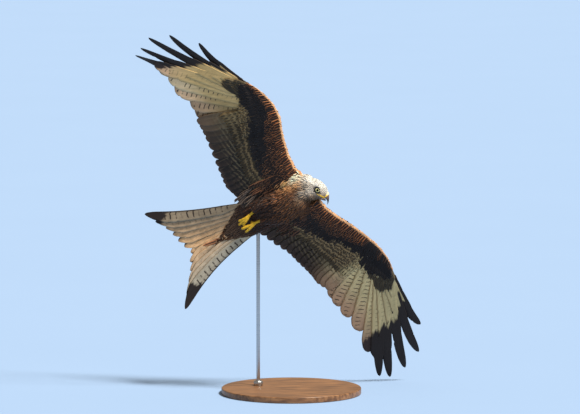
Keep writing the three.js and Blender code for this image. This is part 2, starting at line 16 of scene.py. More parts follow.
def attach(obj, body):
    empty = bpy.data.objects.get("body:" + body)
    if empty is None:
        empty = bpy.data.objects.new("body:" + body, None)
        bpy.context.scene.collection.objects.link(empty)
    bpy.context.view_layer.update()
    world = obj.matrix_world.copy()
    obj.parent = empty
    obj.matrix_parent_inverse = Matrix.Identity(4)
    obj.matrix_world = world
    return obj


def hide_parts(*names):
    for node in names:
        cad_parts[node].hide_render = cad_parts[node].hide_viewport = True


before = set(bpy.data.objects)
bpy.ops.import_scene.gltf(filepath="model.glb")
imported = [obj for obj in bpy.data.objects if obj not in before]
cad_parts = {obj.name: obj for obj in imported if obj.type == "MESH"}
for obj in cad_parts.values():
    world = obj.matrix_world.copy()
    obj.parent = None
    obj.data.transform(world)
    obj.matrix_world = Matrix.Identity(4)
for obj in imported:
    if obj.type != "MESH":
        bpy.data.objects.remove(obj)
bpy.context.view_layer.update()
rng = np.random.default_rng(11)
rad = math.radians

# How the bird hangs on the stand
BIRD_AT = (58, -28, 654)
HEADING, CLIMB, BANK = -17.9, 29.6, 65.3
TURN = Euler((rad(-BANK), rad(-CLIMB), rad(HEADING)), "XYZ").to_matrix()
TO_WORLD = Matrix.Translation(Vector(BIRD_AT) / 1000) @ TURN.to_4x4() @ Matrix.Scale(0.001, 4)
FROM_WORLD = np.array(TO_WORLD.inverted())

# Trunk: place, half width, half depth; its sections roll a little from front to rear
TRUNK = [
    (-18, 0, 13, 40, 38), (-45, 0, 10, 51, 48), (-80, -2, 7, 57, 54), (-115, -4, 7, 58, 54),
    (-150, -7, 10, 57, 49), (-185, -11, 14, 57, 42), (-212, -14, 18, 57, 34), (-230, -16, 21, 56, 28),
]
ROLL_FRONT, ROLL_REAR = -4, -27

# Neck: place, radius
NECK = [(-34, -3, 14, 46), (-18, -15, 19, 44), (-4, -19, 19, 39), (5, -13, 13, 32)]

# Head, measured from the middle between the eyes: distance forward, top, bottom, half width
HEAD_AT = (18, 12, 8)
BILL_DIRECTION = (0.529, 0.835, -0.134)
CROWN_DIRECTION = (0.702, -0.345, 0.62)
HEAD = [
    (-50, 21, -17, 19), (-42, 29, -25, 25), (-28, 35, -29, 28), (-12, 38, -28.5, 28.5), (2, 37, -25.5, 26),
    (14, 34, -21.5, 21.5), (24, 29, -16.8, 16.5), (30.5, 23, -13, 13), (35, 15, -9.5, 9.4),
]

# Throat: distance forward, height, radius
THROAT = [(17, -9.5, 6.5), (9, -14.5, 12.5), (-3, -18.5, 19), (-17, -18.5, 25), (-34, -14, 30)]

# Both bills: distance forward and height of the top and of the cutting edge, then half widths
BILL_TOP = [(31.5, 16.8), (36.6, 14.2), (40.4, 9.8), (44.4, 2.6), (47.6, -4.6), (50, -13), (50.4, -22)]
BILL_EDGE = [(25, -8.4), (29, -8), (34, -7.7), (39, -8.2), (43.4, -10.8), (47, -15.4), (49.6, -22.3)]
BILL_HALF = [9.5, 8.8, 7.4, 5.8, 4.2, 2.6, 0.8]
LOWER_TOP = [(15, -9.8), (24, -9.4), (31, -9), (36, -9.3), (40.2, -11.2)]
LOWER_EDGE = [(15, -17.2), (24, -16.8), (31, -16), (36, -14.9), (39.8, -13.2)]
LOWER_HALF = [9.5, 8.4, 6.6, 4.2, 1.6]

# Cere: its rear sections, before it takes over the first sections of the bill
CERE_SECTIONS = 3
CERE_TOP = [(22, 18), (27, 17.5), *BILL_TOP[:CERE_SECTIONS]]
CERE_EDGE = [(17, -9), (21, -8.8), *BILL_EDGE[:CERE_SECTIONS]]
CERE_HALF = [11.0, 10.4, 9.4, 8.7, 7.3]
NOSTRIL = (31.5, -1.0)

# Eyes, and the lid's section as distance from the eye's axis and height along it
EYE_RADIUS, EYE_SIDE = 8.8, 16.2
LID_PROFILE = [
    (6.55, 6.0), (6.7, 6.75), (7.2, 7.2), (8.1, 7.0), (9.2, 6.1), (10.6, 4.2), (10.2, 2.4), (8.2, 3.0),
    (6.9, 4.8),
]

# Wings: bones, and how each rises outward
HUMERUS, ULNA, HAND = 132, 156, 100
SHOULDER = (-35, 45, 22)
HUMERUS_RISE, ULNA_RISE, HAND_RISE = 10, 5, 1.5
WING_PITCH, PITCH_AXIS, HAND_REACH = 2, 55, 400

# The covered arm: distances out from the body's middle, and its rear edge and thickness there
ARM_OUT = [42, 85, 130, 175, 215, 250, 285, 318, 345, 372, 398]
ARM_BACK = [-128, -118, -106, -94, -80, -66, -50, -38, -22, -6, 6]
ARM_THICK = [42, 36, 31, 27, 24, 21, 18.5, 16, 13, 10, 7]

# Distances out at which rufous_to and black_to say where a colour ends, as a share of the chord
ZONE_OUT = [90, 130, 170, 210, 250, 285, 320, 350, 380]

# Each wing: the directions of its bones, the colours of its pale window and of the tips beyond, the front
# edge at ARM_OUT, the fan of the ten primaries with their lengths from the inner one out, and the tips of the
# secondaries as x and out. The window's warm colour is the quills' own pale with painted glow of light
# shining through, and the tips' peach colour is painted glow of that light. The lists tip_shade and
# inner_shade
# say how light a quill is: tip_shade scales the painted glow at the tips, inner_shade paints shade on the
# right wing's inner primaries, and arm_light paints the right wing's arm darker than the left as shade.
# black_from says where it turns black, and the lists named reach say how far coverts go over each primary.
WINGS = {
    "right": {
        "side": -1, "humerus": 96, "ulna": 52, "hand": 104, "tip_bow": 0.13, "finger": (8, 17),
        "window": (211, 177, 119), "tip": (242, 196, 152), "arm_light": 0.72, "outer_light": 0.22,
        "cover_to": 396, "loose": 16,
        "inner_shade": [0.42, 0.54, 0.76, 0.96, 1.0],
        "tip_shade": [0.34, 0.62, 1.05, 1.20, 0.9, 0.8],
        "rufous_to": [0.62, 0.42, 0.30, 0.26, 0.22, 0.09, 0.08, 0.08, 0.05],
        "black_to": [0.66, 0.66, 0.53, 0.53, 0.46, 0.38, 0.31, 0.33, 0.29],
        "front": [12, 2, 7, 19, 35, 52, 57, 56, 50, 43, 31],
        "fan": [49.4, 43.7, 35.5, 30.2, 26.5, 26.5, 23.2, 17.5, 10.9, 2.7],
        "primary": [245, 251, 295, 312, 356, 412, 394, 374, 310, 210],
        "twist": [40, 32, 29, 27, 34],
        "trailing": [
            (-222, 62), (-221, 112), (-230, 145), (-224, 182), (-215, 228), (-201, 290), (-190, 340),
            (-185, 382),
        ],
        "black_from": [1.4, 1.4, 1.4, 1.4, 0.90, 0.71, 0.59, 0.51, 0.46, 0.52],
        "black_reach": [50, 55, 64, 72, 68, 60, 46, 30, 18, 8],
        "olive_reach": [70, 78, 88, 110, 125, 122, 115, 75, 45, 20],
    },
    "left": {
        "side": 1, "humerus": 93, "ulna": 50, "hand": 97, "tip_bow": 0.08, "finger": (9, 22),
        "window": (216, 195, 143), "tip": (212, 172, 136), "arm_light": 1.0, "outer_light": 1.0,
        "cover_to": 300, "loose": 0,
        "inner_shade": [1.0, 1.0, 1.0, 1.0, 1.0],
        "tip_shade": [0.75, 0.80, 0.85, 0.9, 0.6, 0.4],
        "rufous_to": [0.23, 0.28, 0.34, 0.24, 0.17, 0.07, 0.10, 0.06, 0.05],
        "black_to": [0.50, 0.50, 0.47, 0.36, 0.34, 0.28, 0.37, 0.34, 0.23],
        "front": [9, 8, 19, 34, 45, 54, 61, 65, 64, 61, 54],
        "fan": [62.8, 58.3, 49.7, 40.1, 34.0, 28.3, 24.6, 18.2, 10.2, 2.4],
        "primary": [248, 257, 274, 305, 372, 456, 453, 414, 355, 245],
        "twist": [10, 12, 12, 12, 12],
        "trailing": [
            (-224, 48), (-210, 106), (-194, 160), (-189, 206), (-183, 250), (-180, 285), (-181, 310),
            (-168, 346),
        ],
        "black_from": [1.4, 1.4, 1.4, 1.2, 0.84, 0.56, 0.535, 0.485, 0.43, 0.50],
        "black_reach": [45, 52, 60, 65, 63, 60, 55, 48, 34, 20],
        "olive_reach": [62, 75, 100, 118, 130, 122, 110, 92, 60, 35],
    },
}

# Quills: how much primaries bend, each finger's free length, and the tilt of every vane over its neighbour
PRIMARIES, SECONDARIES = 10, 15
BEND_INNER, BEND_OUTER = 0.02, 0.13
FINGER = [0, 0, 0, 0, 0, 78, 120, 150, 150, 80]
FIRST_FINGER = 5
SHORTEST_FINGER = 40
LOUVRE = -2.5

# Tail: feather lengths from the middle one out, then the rump's distance back, half width and half depth
TAIL_ROOT = (-220, -15.5, 22)
TAIL_YAW, TAIL_PITCH, TAIL_TWIST = -1.8, 1.1, -30
TAIL_SPREAD, TAIL_ROOT_HALF = 19.4, 52
TAIL_LENGTHS = {-1: [250, 262, 272, 288, 317, 348], 1: [238, 254, 268, 292, 322, 355]}
TAIL_BOW = {-1: 0.12, 1: 0.26}
TAIL_PAIRS = 6
RUMP = [(-12, 56, 31), (6, 57, 27), (35, 51, 18), (70, 37, 11), (105, 22, 6), (138, 5, 2)]
RUMP_SKEW = 20

# Legs: the middle line of thigh and shank, and the tips of the three front toes
FEET = {
    "right": {
        "side": -1,
        "thigh": [(-102, -38, -14), (-140, -44, -19), (-184, -44, -17)],
        "shank": [(-172, -45, -14), (-200, -40.5, -21)],
        "tips": [(-241.4, -39.6, -22), (-247.1, -31.2, -26), (-235.3, -25.6, -30)],
    },
    "left": {
        "side": 1,
        "thigh": [(-100, 26, -20), (-140, 9, -27), (-180, -7, -27)],
        "shank": [(-168, -5, -25), (-196, -11.5, -31.5)],
        "tips": [(-236.9, -18.4, -32), (-243.4, -17.3, -36), (-237.7, -4.4, -40)],
    },
}
THIGH_RADIUS = (26, 21, 12)
SHANK_RADIUS = (5.4, 4)
TOE_RADIUS = (3.8, 3.1)
CLAW_LENGTH = 13

# Depth of the coat over the skin
DEPTH_TRUNK, DEPTH_NECK, DEPTH_HEAD = 7, 6, 3
DEPTH_ARM, DEPTH_RUMP, DEPTH_THIGH = 4, 5, 5


# Small helpers
def linear(r, g, b):
    """A colour given as 0 to 255 screen values, as the shader's linear light."""
    c = np.array([r, g, b]) / 255
    return np.where(c < 0.04045, c / 12.92, ((c + 0.055) / 1.055) ** 2.4)


def smooth(x, low, high):
    """From 0 at low to 1 at high, with soft ends."""
    t = np.clip((np.asarray(x, float) - low) / (high - low), 0, 1)
    return t * t * (3 - 2 * t)


def blend(a, b, share):
    share = np.asarray(share, float)[..., None]
    return a * (1 - share) + b * share


def unit(v):
    return v / np.maximum(np.linalg.norm(v, axis=-1, keepdims=True), 1e-9)


def turned(from_, towards, angle):
    """A direction turned towards another at right angles to it."""
    angle = np.asarray(angle, float)[..., None]
    return from_ * np.cos(angle) + towards * np.sin(angle)


def spline(rows, count):
    """Catmull-Rom curve through rows of numbers."""
    rows = np.array(rows, float)
    padded = np.vstack([2 * rows[0] - rows[1], rows, 2 * rows[-1] - rows[-2]])
    place = np.clip(np.linspace(0, len(rows) - 1, count), 0, len(rows) - 1 - 1e-9)
    k = place.astype(int)
    t = (place - k)[:, None]
    p0, p1, p2, p3 = padded[k], padded[k + 1], padded[k + 2], padded[k + 3]
    square, cube = 2 * p0 - 5 * p1 + 4 * p2 - p3, 3 * p1 - p0 - 3 * p2 + p3
    return 0.5 * (2 * p1 + (p2 - p0) * t + square * t**2 + cube * t**3)


def full_turn(sides):
    return np.linspace(0, 2 * np.pi, sides, endpoint=False)


def to_world(points):
    m = np.array(TO_WORLD)
    return points @ m[:3, :3].T + m[:3, 3]


def look(ground, edge, mark, streak, fringe, bars=0.0):
    """One kind of feather: its colours, the widths of its dark streak and fringe, and its bars' strength."""
    return linear(*ground), linear(*edge), linear(*mark), np.array([streak, fringe, bars])


# Colours of body feathers, given as screen colours seen in full light
RUFOUS = linear(148, 92, 58)
DARK_RUFOUS = linear(86, 57, 42)
BREAST = linear(186, 122, 78)
ORANGE_EDGE = linear(212, 158, 112)
VENT, VENT_EDGE = linear(122, 92, 70), linear(118, 90, 70)
STREAK = linear(38, 30, 28)
CREAM = linear(248, 240, 226)
# NECK_CREAM_SUNLIT is the neck's pale cream brightened as painted sunlight; LIT_ORANGE and LIT_EDGE are
# painted warm light on the breast
NECK_CREAM_SUNLIT = linear(255, 232, 198)
LIT_ORANGE, LIT_EDGE = linear(252, 182, 116), linear(255, 220, 168)
HEAD_GREY = linear(178, 166, 150)
CHEEK = linear(212, 202, 188)
THROAT_BUFF = linear(168, 146, 116)
EYE_DUSK, EYE_DUSK_EDGE = linear(38, 34, 33), linear(52, 46, 43)
BUFF = linear(200, 170, 132)
MANTLE = linear(100, 74, 56)
RUMP_BROWN = linear(132, 92, 66)

# Colours of quills
QUILL_BLACK, QUILL_BROWN, QUILL_UPPER = linear(46, 39, 37), linear(62, 50, 46), linear(66, 54, 47)
SECONDARY_DARK, SECONDARY_TIP = linear(54, 47, 40), linear(56, 47, 43)
# The tail's grey, painted darker on the right half (side -1) as shade, and its warm middle: own rufous with
# painted glow of light through the quills
TAIL_GREY_AND_SHADE = {-1: linear(160, 142, 118), 1: linear(188, 176, 154)}
TAIL_WARM_AND_GLOW, TAIL_UPPER = linear(236, 188, 138), linear(182, 108, 60)
PRIMARY_BARS, SECONDARY_BARS, TAIL_BARS = linear(58, 50, 44), linear(112, 98, 74), linear(70, 60, 52)
TIP_MARGIN, VANE_RIM = linear(104, 80, 68), linear(60, 54, 50)
LEAD_LINE, ROOT_SHADE = linear(54, 44, 38), linear(52, 48, 42)
RACHIS, RACHIS_DARK = linear(132, 112, 84), linear(44, 38, 36)

# Colours of the arm's rufous part: at its front, farther back and on the hand, then of the lit front rim
ARM_FRONT, ARM_FRONT_EDGE = linear(160, 98, 58), linear(184, 126, 80)
ARM_MIDDLE, ARM_MIDDLE_EDGE = linear(126, 84, 58), linear(150, 112, 82)
HAND_BROWN = linear(92, 72, 58)
RIM, RIM_EDGE = linear(236, 178, 128), linear(246, 206, 160)
BLACK_BAND, BLACK_BAND_EDGE = linear(40, 35, 35), linear(72, 56, 47)
WARM_BLACK, WARM_BLACK_EDGE = linear(60, 48, 42), linear(112, 80, 60)
BLACK_BAND_MARK, BLACK_BAND_FORM = linear(30, 28, 29), np.array([0.55, 0.06, 0.0])

# Kinds of coverts
OLIVE = look((84, 71, 52), (152, 128, 92), (52, 46, 38), 0.16, 0.05, 0.85)
OLIVE_HAND = look((80, 70, 52), (98, 86, 64), (52, 47, 40), 0.30, 0.03, 0.3)
BLACK_HAND = look((40, 35, 35), (56, 48, 46), (28, 27, 29), 0.5, 0.05)
UPPER_LESSER = look((102, 74, 55), (170, 112, 72), (48, 38, 34), 0.55, 0.20)
UPPER_RIM, UPPER_REAR_EDGE = linear(198, 150, 108), linear(182, 128, 86)
PALE_BAND = look((166, 136, 104), (204, 180, 148), (60, 46, 38), 0.30, 0.24)
PALE_BAND_OUTER, PALE_BAND_OUTER_EDGE = linear(110, 84, 64), linear(150, 118, 90)
UPPER_GREATER = look((88, 68, 55), (166, 132, 98), (46, 38, 35), 0.25, 0.12)
TERTIAL = look((84, 66, 54), (158, 128, 98), (46, 38, 35), 0.25, 0.12)
TERTIAL_OUTER = linear(74, 58, 48)
AXILLARY = look((96, 62, 44), (134, 90, 62), (38, 30, 28), 0.55, 0.10)
AXILLARY_OUTER = linear(104, 70, 50)
LOOSE, LOOSE_MARK = linear(112, 96, 84), linear(52, 44, 42)

# Two directions from the body: towards the warm light on the breast, and along the near side of the neck
LIGHT_SIDE = np.array([0.463, -0.758, 0.459])
NECK_SIDE = np.array([0.828, 0.555, 0.082])


# Meshes
def face_starts(sizes):
    return np.concatenate([[0], np.cumsum(sizes)[:-1]])


def make_object(name, points, corners, sizes, world=True):
    """A mesh object from points and a flat list of face corners; points are in the bird's frame."""
    mesh = bpy.data.meshes.new(name)
    places = to_world(points) if world else points
    mesh.vertices.add(len(places))
    mesh.vertices.foreach_set("co", places.astype(np.float32).ravel())
    mesh.loops.add(len(corners))
    mesh.loops.foreach_set("vertex_index", corners.astype(np.int32))
    mesh.polygons.add(len(sizes))
    mesh.polygons.foreach_set("loop_start", face_starts(sizes).astype(np.int32))
    mesh.update(calc_edges=True)
    mesh.validate()
    mesh.polygons.foreach_set("use_smooth", np.ones(len(mesh.polygons), bool))
    obj = bpy.data.objects.new(name, mesh)
    bpy.context.scene.collection.objects.link(obj)
    return obj


def outward_facing(points, corners, sizes):
    """The same closed shape with every face turned outward."""
    starts = face_starts(sizes)
    a, b, c = (points[corners[starts + k]] for k in range(3))
    middle = points.mean(0)
    volume = ((a - middle) * np.cross(b - middle, c - middle)).sum()
    if volume > 0:
        return points, corners, sizes
    place = np.arange(len(corners)) - np.repeat(starts, sizes)
    return points, corners[np.repeat(starts + sizes - 1, sizes) - place], sizes


def tube(rings):
    """Points, corners and face sizes of a closed tube through rings of points."""
    rings = np.array(rings, float)
    rows, sides = rings.shape[:2]
    points = np.vstack([rings.reshape(-1, 3), rings[0].mean(0), rings[-1].mean(0)])
    row, side = np.meshgrid(np.arange(rows - 1), np.arange(sides), indexing="ij")
    a = row * sides + side
    b = row * sides + (side + 1) % sides
    quads = np.stack([a, b, b + sides, a + sides], -1).reshape(-1, 4)
    k = np.arange(sides)
    first = np.stack([np.full(sides, rows * sides), (k + 1) % sides, k], -1)
    last_row = (rows - 1) * sides
    last = np.stack([np.full(sides, rows * sides + 1), last_row + k, last_row + (k + 1) % sides], -1)
    corners = np.concatenate([quads.ravel(), first.ravel(), last.ravel()])
    sizes = np.concatenate([np.full(len(quads), 4), np.full(2 * sides, 3)])
    return outward_facing(points, corners, sizes)


def join_tubes(tubes):
    """Several closed shapes as one."""
    points, corners, sizes, offset = [], [], [], 0
    for p, c, s in tubes:
        points.append(p)
        corners.append(c + offset)
        sizes.append(s)
        offset += len(p)
    return np.vstack(points), np.concatenate(corners), np.concatenate(sizes)


def ellipses(middles, half_a, half_b, sides=32):
    """Rings round middles, between two arrays of half axes."""
    a = full_turn(sides)[None, :, None]
    return middles[:, None] + half_a[:, None] * np.cos(a) + half_b[:, None] * np.sin(a)


def set_attribute(obj, name, kind, values, domain="POINT"):
    attribute = obj.data.attributes.new(name, kind, domain)
    key = {"FLOAT": "value", "FLOAT_VECTOR": "vector", "FLOAT_COLOR": "color"}[kind]
    values = np.asarray(values, np.float32)
    if kind == "FLOAT_COLOR":
        values = np.hstack([values, np.ones((len(values), 1), np.float32)])
    attribute.data.foreach_set(key, values.ravel())


def set_uv(obj, name, per_corner):
    layer = obj.data.uv_layers.new(name=name)
    layer.data.foreach_set("uv", per_corner.astype(np.float32).ravel())


def finish_piece(obj, material, slot, *nodes):
    """Gives a piece its material and body, and hides the CAD nodes that it stands for; slot is not used."""
    obj.data.materials.clear()
    obj.data.materials.append(material)
    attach(obj, "root")
    if nodes:
        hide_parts(*nodes)
    return obj


# Materials
class Shader:
    """A material with short calls for the nodes that it needs."""

    def __init__(self, name, roughness=0.6, specular=0.3, **constants):
        self.material = bpy.data.materials.new(name)
        self.material.use_nodes = True
        self.tree = self.material.node_tree
        self.tree.nodes.clear()
        output = self.tree.nodes.new("ShaderNodeOutputMaterial")
        self.surface = self.tree.nodes.new("ShaderNodeBsdfPrincipled")
        self.tree.links.new(self.surface.outputs[0], output.inputs["Surface"])
        self.surface.inputs["Roughness"].default_value = roughness
        self.surface.inputs["Specular IOR Level"].default_value = specular
        for key, value in constants.items():
            self.surface.inputs[key.replace("_", " ")].default_value = value

    def put(self, socket, value):
        if isinstance(value, bpy.types.NodeSocket):
            self.tree.links.new(value, socket)
        elif value is not None:
            value = tuple(float(v) for v in value) if hasattr(value, "__len__") else value
            if socket.type == "RGBA" and len(value) == 3:
                value = (*value, 1)
            socket.default_value = value

    def node(self, kind, inputs=(), out=0, **settings):
        node = self.tree.nodes.new(kind)
        for key, value in settings.items():
            setattr(node, key, value)
        for key, value in dict(inputs).items():
            self.put(node.inputs[key], value)
        return node.outputs[out]

    def math(self, operation, *values):
        return self.node("ShaderNodeMath", dict(enumerate(values)), operation=operation)

    def times(self, a, b):
        return self.math("MULTIPLY", a, b)

    def line(self, value, factor, start):
        return self.math("MULTIPLY_ADD", value, factor, start)

    def mix(self, share, a, b, kind="MIX"):
        return self.node("ShaderNodeMix", {0: share, 6: a, 7: b}, out=2, data_type="RGBA", blend_type=kind)

    def step(self, value, low, high, to_low=0.0, to_high=1.0):
        sockets = {0: value, 1: low, 2: high, 3: to_low, 4: to_high}
        return self.node("ShaderNodeMapRange", sockets, interpolation_type="SMOOTHSTEP")

    def join(self, x, y, z=0.0):
        return self.node("ShaderNodeCombineXYZ", {0: x, 1: y, 2: z})

    def split(self, vector):
        node = self.tree.nodes.new("ShaderNodeSeparateXYZ")
        self.put(node.inputs[0], vector)
        return node.outputs

    def noise(self, vector, scale=1.0, detail=2.0, roughness=0.5):
        sockets = {"Vector": vector, "Scale": scale, "Detail": detail, "Roughness": roughness}
        return self.node("ShaderNodeTexNoise", sockets)

    def shaded(self, colour, light):
        return self.mix(1.0, colour, self.join(light, light, light), kind="MULTIPLY")

    def attribute(self, name, out="Fac"):
        return self.node("ShaderNodeAttribute", out=out, attribute_name=name)

    def uv(self, name):
        return self.node("ShaderNodeUVMap", uv_map=name)

    def place(self):
        return self.node("ShaderNodeTexCoord", out="Object")

    def bump(self, height, strength, distance):
        sockets = {"Height": height, "Strength": strength, "Distance": distance}
        self.put(self.surface.inputs["Normal"], self.node("ShaderNodeBump", sockets))

    def colour(self, value):
        self.put(self.surface.inputs["Base Color"], value)


def vane_parts(s):
    """Place across a vane from -1 to 1, distance from its shaft, place along it, barb noise and seed."""
    across, along, _ = s.split(s.uv("Vane"))
    signed = s.line(across, 2.0, -1.0)
    off = s.math("ABSOLUTE", signed)
    seed = s.attribute("seed")
    barb = s.line(off, -0.35, along)
    grain = s.noise(s.join(s.times(barb, 34.0), s.times(signed, 1.2), seed), 1.0, 2.0)
    return signed, off, along, grain, seed


def contour_material():
    """Body feathers: a ground, a dark mark along the shaft and a fringe, with the barbs' fine grain."""
    s = Shader("plumage", roughness=0.68, specular=0.12, Sheen_Weight=0.04, Sheen_Roughness=0.45)
    signed, off, along, grain, seed = vane_parts(s)
    mark_width, fringe_width, bars = s.split(s.attribute("form", "Vector"))
    wander = s.noise(s.join(s.times(signed, 1.6), s.times(along, 3.0), seed), 1.0, 2.0)
    shifted = s.math("ADD", off, s.line(wander, 0.36, -0.18))
    mark = s.step(s.math("SUBTRACT", mark_width, shifted), -0.08, 0.08)
    mark = s.times(mark, s.step(along, 0.99, 0.88))
    rim = s.math("MAXIMUM", off, s.step(along, 0.80, 1.0))
    rim = s.math("ADD", rim, s.line(wander, 0.24, -0.12))
    fringe = s.step(s.math("ADD", rim, fringe_width), 0.93, 1.08)
    band = s.line(along, 20.0, s.times(off, -3.0))
    band = s.math("SINE", s.line(wander, 1.8, band))
    band = s.times(s.step(band, -0.1, 0.6), bars)
    colour = s.mix(mark, s.attribute("ground", "Color"), s.attribute("mark", "Color"))
    colour = s.mix(band, colour, s.attribute("edge", "Color"))
    colour = s.mix(fringe, colour, s.attribute("edge", "Color"))
    light = s.step(grain, 0.2, 0.8, 0.80, 1.22)
    colour = s.shaded(colour, light)
    shaft = s.step(off, 0.09, 0.02, 0.0, 0.35)
    colour = s.mix(shaft, colour, s.attribute("mark", "Color"))
    s.colour(colour)
    s.bump(grain, 0.25, 0.0006)
    return s.material


def quill_material(name, reach, slant, dash_colour, thin, fade, outline, mottle=0.1, lead_line=0.0):
    """Flight feathers. The under side carries dashes within a reach across the vane and turns dark from a
    given place on; the upper side is nearly plain with faint bars. The dashes fade between two distances from
    the root, and outline is the strength of the dark rim and shaft."""
    s = Shader(name, roughness=0.58, specular=0.14, Sheen_Weight=0.02)
    signed, off, along, grain, seed = vane_parts(s)
    dark_from, dashes, count = s.split(s.attribute("form", "Vector"))
    wander = s.noise(s.join(s.times(signed, 3.0), s.times(along, 9.0), seed), 1.0, 3.0)
    ragged = s.math("ADD", along, s.line(wander, 0.16, -0.08))
    ragged = s.line(signed, 0.05, ragged)
    ragged = s.line(s.attribute("lead_dark"), s.step(signed, 0.0, 0.25), ragged)
    dark = s.step(s.math("SUBTRACT", ragged, dark_from), -0.02, 0.025)
    phase = s.times(along, count)
    phase = s.line(off, slant, phase)
    phase = s.line(wander, 0.5, phase)
    wave = s.math("SINE", s.times(phase, 2 * math.pi))
    dash = s.step(wave, thin - 0.15, thin + 0.15)
    dash = s.times(dash, s.step(signed, reach[0] - 0.06, reach[0] + 0.06))
    dash = s.times(dash, s.step(signed, reach[1] + 0.06, reach[1] - 0.06))
    dash = s.times(dash, s.step(along, fade[0], fade[1]))
    broken = s.noise(s.join(s.times(along, 14.0), signed, s.times(seed, 1.7)), 1.0, 2.0)
    dash = s.times(dash, s.step(broken, 0.30, 0.48))
    dash = s.times(dash, dashes)
    under = s.mix(s.step(along, 0.50, 0.92), s.attribute("ground", "Color"), s.attribute("edge", "Color"))
    under = s.mix(s.step(along, 0.92, 1.0, 0.0, 0.5), under, TIP_MARGIN)
    under = s.mix(dash, under, dash_colour)
    under = s.mix(s.step(off, 0.88, 0.98, 0.0, 0.5 * outline), under, VANE_RIM)
    under = s.mix(s.step(signed, 0.30, 0.62, 0.0, lead_line), under, LEAD_LINE)
    patch = s.noise(s.join(s.times(along, 11.0), s.times(signed, 1.3), seed), 1.0, 3.0, 0.6)
    patch = s.step(patch, 0.3, 0.7, 1 - mottle, 1 + 0.6 * mottle)
    under = s.shaded(under, patch)
    under = s.mix(s.step(along, s.attribute("root_dark"), 0.0), under, ROOT_SHADE)
    under = s.mix(dark, under, s.attribute("mark", "Color"))
    faint = s.times(s.step(wave, 0.2, 0.8), 0.35)
    upper = s.mix(faint, s.attribute("upper", "Color"), s.attribute("mark", "Color"))
    upper = s.mix(s.times(dark, 0.8), upper, s.attribute("mark", "Color"))
    colour = s.mix(s.attribute("under_side"), upper, under)
    light = s.step(grain, 0.2, 0.8, 0.86, 1.15)
    colour = s.shaded(colour, light)
    shaft = s.step(off, 0.07, 0.03, 0.0, 0.8 * outline)
    rachis = s.mix(dark, RACHIS, RACHIS_DARK)
    s.colour(s.mix(shaft, colour, rachis))
    s.bump(grain, 0.22, 0.0008)
    return s.material


def skin_material():
    """The skin under the coat has the coat's colours; bare shanks and toes are yellow with scales."""
    s = Shader("skin", roughness=0.6, specular=0.25)
    spots = s.noise(s.place(), 420.0, 3.0)
    spots = s.step(spots, 0.3, 0.7, 0.0, 0.5)
    plumed = s.mix(spots, s.attribute("ground", "Color"), s.attribute("mark", "Color"))
    cells = {"Vector": s.place(), "Scale": 640.0}
    scute = s.node("ShaderNodeTexVoronoi", cells, feature="DISTANCE_TO_EDGE")
    seam = s.step(scute, 0.0, 0.16)
    yellow = s.mix(s.noise(s.place(), 160.0), linear(212, 160, 22), linear(238, 196, 58))
    yellow = s.mix(s.step(seam, 0.0, 1.0, 0.65, 0.0), yellow, linear(120, 84, 20))
    s.colour(s.mix(s.attribute("bare"), plumed, yellow))
    s.bump(s.times(seam, s.attribute("bare")), 0.5, 0.0005)
    return s.material


def horn_material():
    """Horn, from grey-brown at its base to black at its point."""
    s = Shader("horn", roughness=0.26, specular=0.5)
    tip = s.attribute("tip")
    streak = s.noise(s.place(), 260.0, 3.0)
    base = s.mix(streak, linear(122, 98, 92), linear(86, 72, 72))
    s.colour(s.mix(s.step(s.line(streak, 0.2, tip), 0.35, 0.85), base, linear(22, 20, 22)))
    s.bump(streak, 0.12, 0.0004)
    return s.material


def cere_material():
    """Waxy yellow skin, paler towards the forehead and dark inside the nostrils."""
    s = Shader("cere", roughness=0.38, specular=0.4, Subsurface_Weight=0.08, Subsurface_Scale=0.002)
    speckle = s.noise(s.place(), 520.0, 3.0)
    yellow = s.mix(speckle, linear(226, 172, 30), linear(242, 206, 76))
    yellow = s.mix(s.attribute("pale"), yellow, linear(222, 206, 176))
    s.colour(s.mix(s.attribute("tip"), yellow, linear(40, 28, 16)))
    s.bump(speckle, 0.15, 0.0004)
    return s.material


def eye_material():
    """Pupil, pale iris with fine rays and a dark rim, told apart by the angle from the eye's axis."""
    s = Shader("eye", roughness=0.25, specular=0.05, Coat_Weight=0.02, Coat_Roughness=0.02)
    reach = s.attribute("reach")
    rays = s.noise(s.attribute("ray", "Vector"), 9.0, 4.0)
    iris = s.mix(rays, linear(206, 200, 130), linear(240, 236, 186))
    iris = s.mix(s.step(reach, 0.50, 0.58, 0.4, 0.0), iris, linear(120, 106, 48))
    colour = s.mix(s.step(reach, 0.48, 0.51), linear(2, 2, 3), iris)
    s.colour(s.mix(s.step(reach, 0.68, 0.74), colour, linear(8, 7, 7)))
    return s.material


def lid_material():
    s = Shader("lid", roughness=0.6, specular=0.2)
    grain = s.noise(s.place(), 900.0, 3.0)
    s.colour(s.mix(grain, linear(14, 12, 12), linear(32, 28, 27)))
    s.bump(grain, 0.4, 0.0003)
    return s.material


def wood_material():
    s = Shader("stand wood", roughness=0.42, specular=0.4, Coat_Weight=0.15, Coat_Roughness=0.3)
    x, y, z = s.split(s.place())
    grain = s.noise(s.join(s.times(x, 5.0), s.times(y, 46.0), s.times(z, 30.0)), 2.2, 6.0, 0.6)
    pores = s.noise(s.join(s.times(x, 40.0), s.times(y, 520.0), z), 1.0, 3.0)
    colour = s.mix(s.step(grain, 0.35, 0.65), linear(92, 62, 40), linear(146, 104, 68))
    colour = s.mix(s.step(pores, 0.62, 0.72, 0.0, 0.5), colour, linear(62, 40, 26))
    s.colour(colour)
    s.put(s.surface.inputs["Roughness"], s.step(grain, 0.2, 0.8, 0.36, 0.5))
    s.bump(pores, 0.12, 0.0004)
    return s.material


